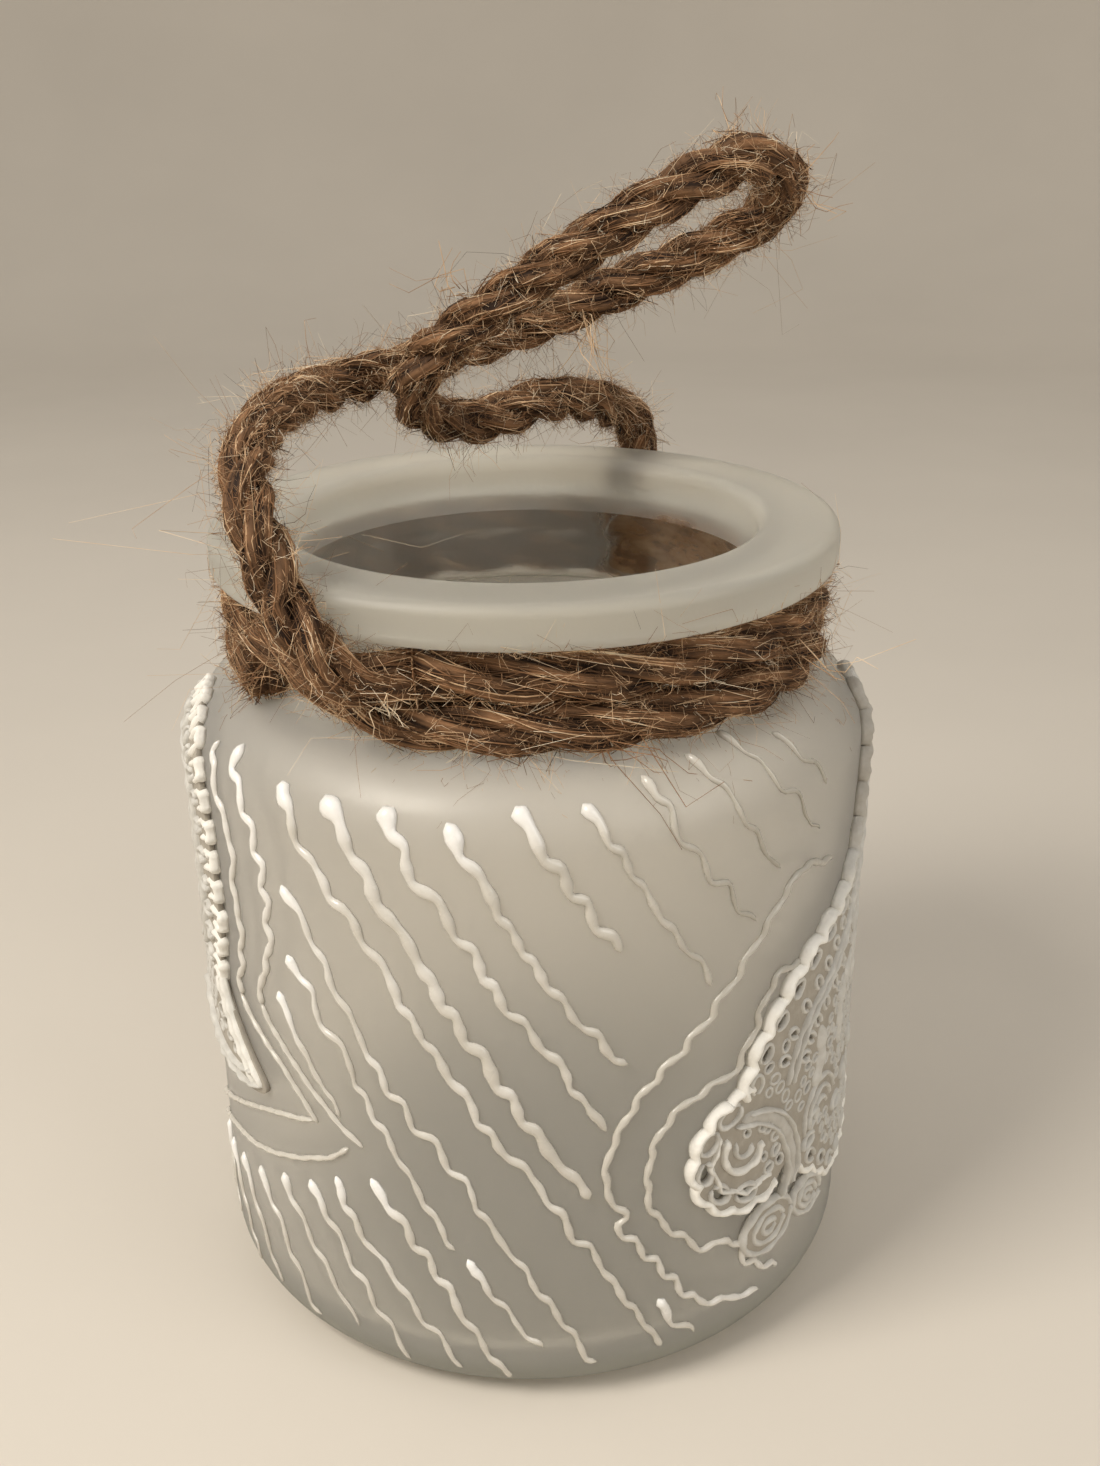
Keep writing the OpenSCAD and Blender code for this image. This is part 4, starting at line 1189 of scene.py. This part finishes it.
def ground_sheet(name, outline, holes, thickness):
    """An openwork sheet: a filled flat curve with holes, cut into narrow strips and laid round the glass."""
    clear_selection()
    data = bpy.data.curves.new(name, "CURVE")
    data.dimensions, data.fill_mode = "2D", "BOTH"
    data.extrude, data.bevel_depth, data.bevel_resolution, data.offset = 0.3 * thickness, 0.14, 1, -0.14
    for ring in [outline, *holes]:
        spline = data.splines.new("POLY")
        spline.points.add(len(ring) - 1)
        corners = np.column_stack([ring, np.zeros(len(ring)), np.ones(len(ring))])
        spline.points.foreach_set("co", corners.ravel())
        spline.use_cyclic_u = True
    sheet = bpy.data.objects.new(name, data)
    bpy.context.scene.collection.objects.link(sheet)
    bpy.context.view_layer.objects.active = sheet
    sheet.select_set(True)
    bpy.ops.object.convert(target="MESH")
    cut = bmesh.new()
    cut.from_mesh(sheet.data)
    low, high = outline.min(axis=0), outline.max(axis=0)
    planes = [((x, 0, 0), (1, 0, 0)) for x in np.arange(low[0] + 0.7, high[0], 1.8)]
    planes += [((0, y, 0), (0, 1, 0)) for y in np.arange(SHOULDER_START, high[1], 1.2)]
    for place, way in planes:
        everything = cut.verts[:] + cut.edges[:] + cut.faces[:]
        bmesh.ops.bisect_plane(cut, geom=everything, dist=1e-4, plane_co=place, plane_no=way)
    bmesh.ops.remove_doubles(cut, verts=cut.verts, dist=1e-4)
    bmesh.ops.recalc_face_normals(cut, faces=cut.faces)
    cut.to_mesh(sheet.data)
    cut.free()
    flat = np.empty(len(sheet.data.vertices) * 3)
    sheet.data.vertices.foreach_get("co", flat)
    flat = flat.reshape(-1, 3)
    height = flat[:, 2] - flat[:, 2].min() + 0.1
    sheet.data.vertices.foreach_set("co", wrap(flat[:, :2], height).ravel())
    # Painted shade: the lower a point of the sheet lies, the darker it is, down in the openings and along the
    # sides.
    shade = sheet.data.attributes.new("shade", "FLOAT", "POINT")
    shade.data.foreach_set("value", (0.08 + 0.36 * height / height.max()).astype(np.float32))
    sheet.data.shade_smooth()
    sheet.data.set_sharp_from_angle(angle=0.7)
    return sheet


class Lace:
    """Collects one applique's sheets, holes and raised cords."""

    def __init__(self, settings, seed):
        self.rng = np.random.default_rng(seed)
        self.settings = settings
        self.beads, self.holes, self.busy = [], [], []

    def cord(self, route, width=None, rise=None, base=0.55, lead=0.4, shade_dimming=0.28):
        """One raised cord, a little uneven. Its dimming is painted shade: how far its colour is from white.
        """
        route = np.asarray(route, float)
        n = len(route)
        width = (width or self.settings.cord / MM)
        rise = (rise or self.settings.rise / MM)
        uneven = 1 + 0.10 * np.sin(np.arange(n) * 0.9 + self.rng.uniform(0, 6)) + self.rng.normal(0, 0.03, n)
        ends = rounded(n, n * 0.5, lead)
        rises = rise * (0.5 + 0.5 * ends) * uneven
        self.beads.append((route, width * uneven * ends, rises, np.broadcast_to(shade_dimming, n), base))
        self.busy += list(route[::2])

    def eye(self, x, y, r, squeeze=1.0, tilt=0.0, width=0.75, rise=0.8):
        """A ring of cord round a hole."""
        ring = ring_of(x, y, r, squeeze, tilt)
        self.cord(ring, width, rise, lead=0.01)
        if r > 0.9:
            self.holes.append(ring_of(x, y, r - 0.42, squeeze, tilt, 12)[:-1])

    def mesh_of_eyes(self, outline, spacing, avoid=()):
        """Rows of small eyes wherever the ground is still free."""
        low, high = outline.min(axis=0), outline.max(axis=0)
        edge = outline[::2]
        row, y = 0, low[1] + 0.5 * spacing
        while y < high[1]:
            for x in np.arange(low[0] + (row % 2) * spacing / 2, high[0], spacing):
                place = np.array([x, y]) + self.rng.normal(0, 0.16, 2)
                free = within(place, outline) and clear_by(place, edge) > 2.0
                free = free and not any(within(place, other) for other in avoid)
                if free and clear_by(place, self.busy) > 1.4:
                    r = 0.95 * self.rng.uniform(0.85, 1.15)
                    tilt = self.rng.uniform(0, np.pi)
                    ring = ring_of(*place, r, 0.8, tilt, 9)
                    # Each eye is dimmed a little by painted shade.
                    self.beads.append((ring, np.full(10, 0.62), np.full(10, 0.7), np.full(10, 0.3), 0.5))
                    self.holes.append(ring_of(*place, 0.78 * r, 0.8, tilt, 8)[:-1])
            y += spacing * 0.87
            row += 1

    def border(self, points, pitch, depth, width=1.6, rise=1.7, petals=True, closed=False, inset=2.5):
        """A scalloped border cord with an oval eye inside every scallop and a plain cord behind them."""
        route, middles = scalloped(points, pitch, depth, closed)
        # Painted shade dims the border towards its top, above 66 mm up the side.
        self.cord(route, width, rise, base=0.1, lead=0.8, shade_dimming=0.45 * eased((route[:, 1] - 66) / 16))
        if petals:
            for middle, out in middles:
                x, y = middle - (inset - depth) * out
                tilt = math.atan2(out[1], out[0]) + math.pi / 2
                self.eye(x, y, 0.29 * pitch, 0.72, tilt)
        return route, middles


def right_lace(lace):
    """A leaf with a vein that climbs up the side, above a round flower with an oval scroll below it."""
    route, _ = lace.border(RIGHT_MAIN[:RIGHT_TIP], 5.4, 1.3)
    back, _ = lace.border(RIGHT_MAIN[RIGHT_TIP - 1:], 5.4, 1.0, 1.3, 1.3)
    outline = np.vstack([route, back[1:]])
    # The flower: its border goes round its left side, from the leaf's edge to the scroll.
    cx, cy = LOBE_CENTRE
    turn = np.radians(np.arange(88, 305, 9))
    edge = [(cx + LOBE_RADIUS * math.cos(a), cy + LOBE_RADIUS * math.sin(a)) for a in turn][::-1]
    lace.border(edge, 4.9, 1.0, 1.4, 1.6, petals=False)
    inner = (cx, cy) + 0.8 * (np.array(edge) - (cx, cy))
    lace.cord(scalloped(inner[:19], 4.9, -0.9)[0], 0.8, 1.1, shade_dimming=0.15)
    flower = [
        (29.0, 46.4, 2.1, 0.6), (25.4, 43.0, 1.9, 1.0), (24.9, 37.9, 1.8, 1.57), (27.6, 33.3, 1.9, 2.3),
        (32.6, 31.4, 2.0, 2.9),
    ]
    for x, y, r, tilt in flower:
        lace.eye(x, y, r, 0.72, tilt, 0.9, 1.0)
    bow = np.array([(28.6, 42.6), (28.2, 39.3), (29.6, 36.6), (31.9, 35.8), (34.2, 36.7), (35.4, 39.4)])
    lace.cord(smooth_route(bow, 0.5), 1.2, 1.3, shade_dimming=0.15)
    lace.cord(smooth_route((31.8, 40.2) + 0.45 * (bow - (31.8, 40.2)), 0.5), 0.8, 1.1)
    for x, y in ((36.6, 41.2), (38.4, 38.9), (38.6, 36.1), (37.2, 33.6), (35.6, 41.9)):
        lace.eye(x, y, 1.05, 0.75, 0.9)
    arch = [(31.2, 44.6), (35.4, 43.6), (39.6, 40.4), (42.3, 35.2), (43.0, 30.5), (41.6, 27)]
    lace.cord(smooth_route(arch, 0.6), 2.7, 0.9, lead=1.4, shade_dimming=0.36)
    for shift in (-1.2, 1.2):
        lace.cord(smooth_route(np.array(arch) + (shift, 0.5 * shift), 0.6), 0.8, 1.3)
    for x, y, r, squeeze, tilt in SCROLLS:
        for share in (1.0, 0.62, 0.26):
            lace.cord(ring_of(x, y, r * share, squeeze, tilt), 1.15, 1.1, base=0.3, lead=0.01)
    # The leaf's vein with a row of eyes on each side, and its plain blade
    vein = [(75, 91), (68.5, 78.5), (61, 67), (53.5, 60.5), (46.6, 56), (43.2, 51.6), (41.3, 46)]
    vein = smooth_route(vein, 0.6)
    side = left_of(vein)
    for shift in (-0.8, 0.8):
        lace.cord(vein + shift * side, 0.85, 1.1)
    for i in range(5, len(vein) - 4, 6):
        for shift in (-2.9, 2.9):
            lace.eye(*(vein[i] + shift * side[i]), 1.25, 0.7, math.atan2(*side[i][::-1]))
    blade = smooth_route([(49.6, 52.0), (50.6, 48.5), (50.4, 45.0), (48.6, 41.4)], 0.5)
    lace.cord(blade, 3.4, 0.95, lead=2.5)
    for r in (2.2, 3.8, 5.4):
        arch = ring_of(51.5, 35.5, r, 1.25, 0.25)[: int(2 * math.pi * r / 0.6) // 2 + 2]
        lace.cord(arch, 0.85, 0.95)
    for x, y, tilt in ((47.4, 32.6, 0.4), (48.6, 36.2, 0.7), (58, 33.5, 0.3), (62, 37, 0.5), (66, 41, 0.8)):
        lace.eye(x, y, 1.7, 0.6, tilt, 0.9, 1.0)
    for low, high in (((58, 44), (64, 58)), ((66, 50), (72, 64)), ((74, 58), (78, 72))):
        bow = smooth_route([low, (low[0] + 0.4, 0.5 * (low[1] + high[1]) + 1.5), high], 0.6)
        lace.cord(bow, 2.6, 0.9, lead=2.2)
    disc = ring_of(cx, cy, LOBE_RADIUS + 0.7, count=60)[:-1]
    lace.mesh_of_eyes(outline, 2.45)
    lace.mesh_of_eyes(disc, 2.4, [outline])
    scrolls = [(ring_of(x, y, r, squeeze, tilt)[:-1], []) for x, y, r, squeeze, tilt in SCROLLS]
    leaf = (outline, free_holes(lace.holes, outline, [disc]))
    return [leaf, (disc, free_holes(lace.holes, disc, [outline])), *scrolls]


def left_lace(lace):
    """A broad band with a ladder of square scallops at its edge, and a pointed leaf with doubled outlines."""
    ladder = smooth_route(LEFT_MAIN[:LEFT_LEAF], 4.6)
    route, _ = scalloped(LEFT_MAIN, 400, 0.0, True)
    outline = route[:-1]
    outward = left_of(ladder)
    for i, (place, out) in enumerate(zip(ladder, outward)):
        along = np.array([out[1], -out[0]])
        # Each rung is a square loop round a low block, and stands off the edge.
        nose = 0.4 + 0.25 * math.sin(2.3 * i)
        corners = [(-3, -1.25), (nose, -1.15), (nose, 1.15), (-3, 1.25)]
        corners = [place + a * out + b * along for a, b in corners]
        loop = np.vstack([np.linspace(a, b, 7) for a, b in zip(corners, corners[1:])])
        lace.cord(loop, 1.25, 1.4, base=0.1, shade_dimming=0.05)
        lace.cord(np.linspace(place - 3.0 * out, place, 8), 1.9, 0.8, base=0.1, lead=0.7, shade_dimming=0.2)
        lace.eye(*(place - 4.6 * out), 1.35, 0.75, math.atan2(*out[::-1]), 0.9, 1.1)
    for inset, width in ((6.6, 0.9), (8.2, 0.9)):
        lace.cord(smooth_route(ladder - inset * outward, 0.6), width, 1.2)
    leaf = [(-56.0, 59.5), (-53.2, 55), (-49.2, 50.3), (-44.8, 45.5)]
    under = [(-44.8, 45.3), (-50, 43.9), (-56, 44.2), (-62, 46.2), (-68, 50)]
    for shift in (0.3, 2.2):
        lace.cord(smooth_route(np.array(leaf) - (shift, 0.35 * shift), 0.5), 0.9, 1.1, shade_dimming=0.12)
    for shift in (0.3, 1.9):
        lace.cord(smooth_route(np.array(under) + (-1.2 * shift, shift), 0.5), 0.95, 1.25)
    for k in range(4):
        lace.eye(-52.6 - 1.7 * k, 48.6 + 1.3 * k, 0.95 + 0.15 * k, 0.75, 0.9, 0.6)
    back, _ = scalloped(LEFT_MAIN[LEFT_BACK:] + LEFT_MAIN[:1], 5.0, 0.8)
    lace.cord(back, 1.3, 1.3, base=0.1)
    lace.mesh_of_eyes(outline, 2.6)
    return [(outline, free_holes(lace.holes, outline, []))]


class LANTERN_OT_lace(bpy.types.Operator):
    """Lays the two lace appliques on the glass"""

    bl_idname = "lantern.lace"
    bl_label = "Lace appliques"

    def execute(self, context):
        settings = context.scene.lantern_lace
        paste = lace_material(settings)
        for side, draw, seed in (("left", left_lace, 71), ("right", right_lace, 72)):
            lace = Lace(settings, seed)
            sheets = draw(lace)
            for k, (outline, holes) in enumerate(sheets):
                sheet = ground_sheet(f"lace_{side}_ground_{k}", outline, holes, settings.ground / MM)
                put(sheet, "jar", "lace_white", paste)
                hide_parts("lace_applique_" + side)
            put(beads_piece(f"lace_{side}_cords", lace.beads), "jar", "lace_white", paste)
        return {"FINISHED"}


# ------------------------------------------------------------------ stage


class LANTERN_OT_stage(bpy.types.Operator):
    """Sets a pale floor that rises all round, a key lamp, a fill lamp and soft light from above"""

    bl_idname = "lantern.stage"
    bl_label = "Stage"

    def execute(self, context):
        stage = context.scene.lantern_stage
        # Flat for 900 mm, then curved up into a wall. It lies a hair below the jar.
        flat, curve, wall_top, below = 900, 500, 900, 0.02
        profile = [(0, 0), (300, 0), (600, 0), (flat, 0)] + arc(flat, curve, curve, -84, 0, 12)
        profile += [(flat + curve, wall_top)]
        floor = turned_piece("floor", [(x, z - below) for x, z in profile], 64)
        material, tree, shader = new_material("pale_floor")
        colour_value = tuple(stage.floor)
        stops = [(0.3, times(colour_value, 0.97)), (0.7, times(colour_value, 1.02))]
        tone = ramp(tree, noise_of(tree, 6, 3), stops)
        tree.links.new(tone, shader.inputs["Base Color"])
        shader.inputs["Roughness"].default_value = 0.9
        shader.inputs["Specular IOR Level"].default_value = 0.2
        floor.data.materials.append(material)

        def lamp(name, place, aim, size, power, tone):
            data = bpy.data.lights.new(name, "AREA")
            data.size, data.energy, data.color = size, power, tone
            thing = bpy.data.objects.new(name, data)
            thing.location = place
            thing.rotation_euler = (Vector(aim) - Vector(place)).to_track_quat("-Z", "Y").to_euler()
            context.scene.collection.objects.link(thing)

        lamp("key_lamp", (-0.42, -0.30, 0.62), (0, 0, 0.07), 0.30, stage.key, (1.0, 0.945, 0.87))
        lamp("fill_lamp", (0.55, -0.45, 0.40), (0, 0, 0.06), 0.45, stage.fill, (0.98, 0.97, 0.96))
        world = bpy.data.worlds.new("sky")
        world.use_nodes = True
        back = world.node_tree.nodes["Background"]
        back.inputs["Color"].default_value = (1.0, 0.965, 0.92, 1)
        back.inputs["Strength"].default_value = stage.sky
        context.scene.world = world
        context.scene.view_settings.view_transform = "Standard"
        return {"FINISHED"}


class LANTERN_PT_panel(bpy.types.Panel):
    """Lists the lantern's pieces in the order in which they are made"""

    bl_label = "Frosted Jar Lantern"
    bl_idname = "LANTERN_PT_panel"
    bl_space_type = "VIEW_3D"
    bl_region_type = "UI"
    bl_category = "Lantern"

    def draw(self, context):
        for operator in STEPS:
            self.layout.operator(operator.bl_idname)
        for group in ("glass", "rope", "paint", "lace", "stage"):
            settings = getattr(context.scene, "lantern_" + group)
            box = self.layout.box()
            for key in settings.__annotations__:
                box.prop(settings, key)


STEPS = (
    LANTERN_OT_camera, LANTERN_OT_handle, LANTERN_OT_turns, LANTERN_OT_glass, LANTERN_OT_glue,
    LANTERN_OT_paint, LANTERN_OT_lace, LANTERN_OT_stage,
)
SETTINGS = {
    "lantern_glass": GlassSettings, "lantern_rope": RopeSettings, "lantern_paint": PaintSettings,
    "lantern_lace": LaceSettings, "lantern_stage": StageSettings,
}


def register():
    for name, group in SETTINGS.items():
        bpy.utils.register_class(group)
        setattr(bpy.types.Scene, name, PointerProperty(type=group))
    for made in (*STEPS, LANTERN_PT_panel):
        bpy.utils.register_class(made)


def unregister():
    for made in (LANTERN_PT_panel, *reversed(STEPS)):
        bpy.utils.unregister_class(made)
    for name, group in SETTINGS.items():
        delattr(bpy.types.Scene, name)
        bpy.utils.unregister_class(group)


def main():
    register()
    bpy.ops.lantern.camera()
    bpy.ops.lantern.handle()
    bpy.ops.lantern.turns()
    bpy.ops.lantern.glass()
    bpy.ops.lantern.glue()
    bpy.ops.lantern.paint()
    bpy.ops.lantern.lace()
    bpy.ops.lantern.stage()


if __name__ == "__main__":
    main()
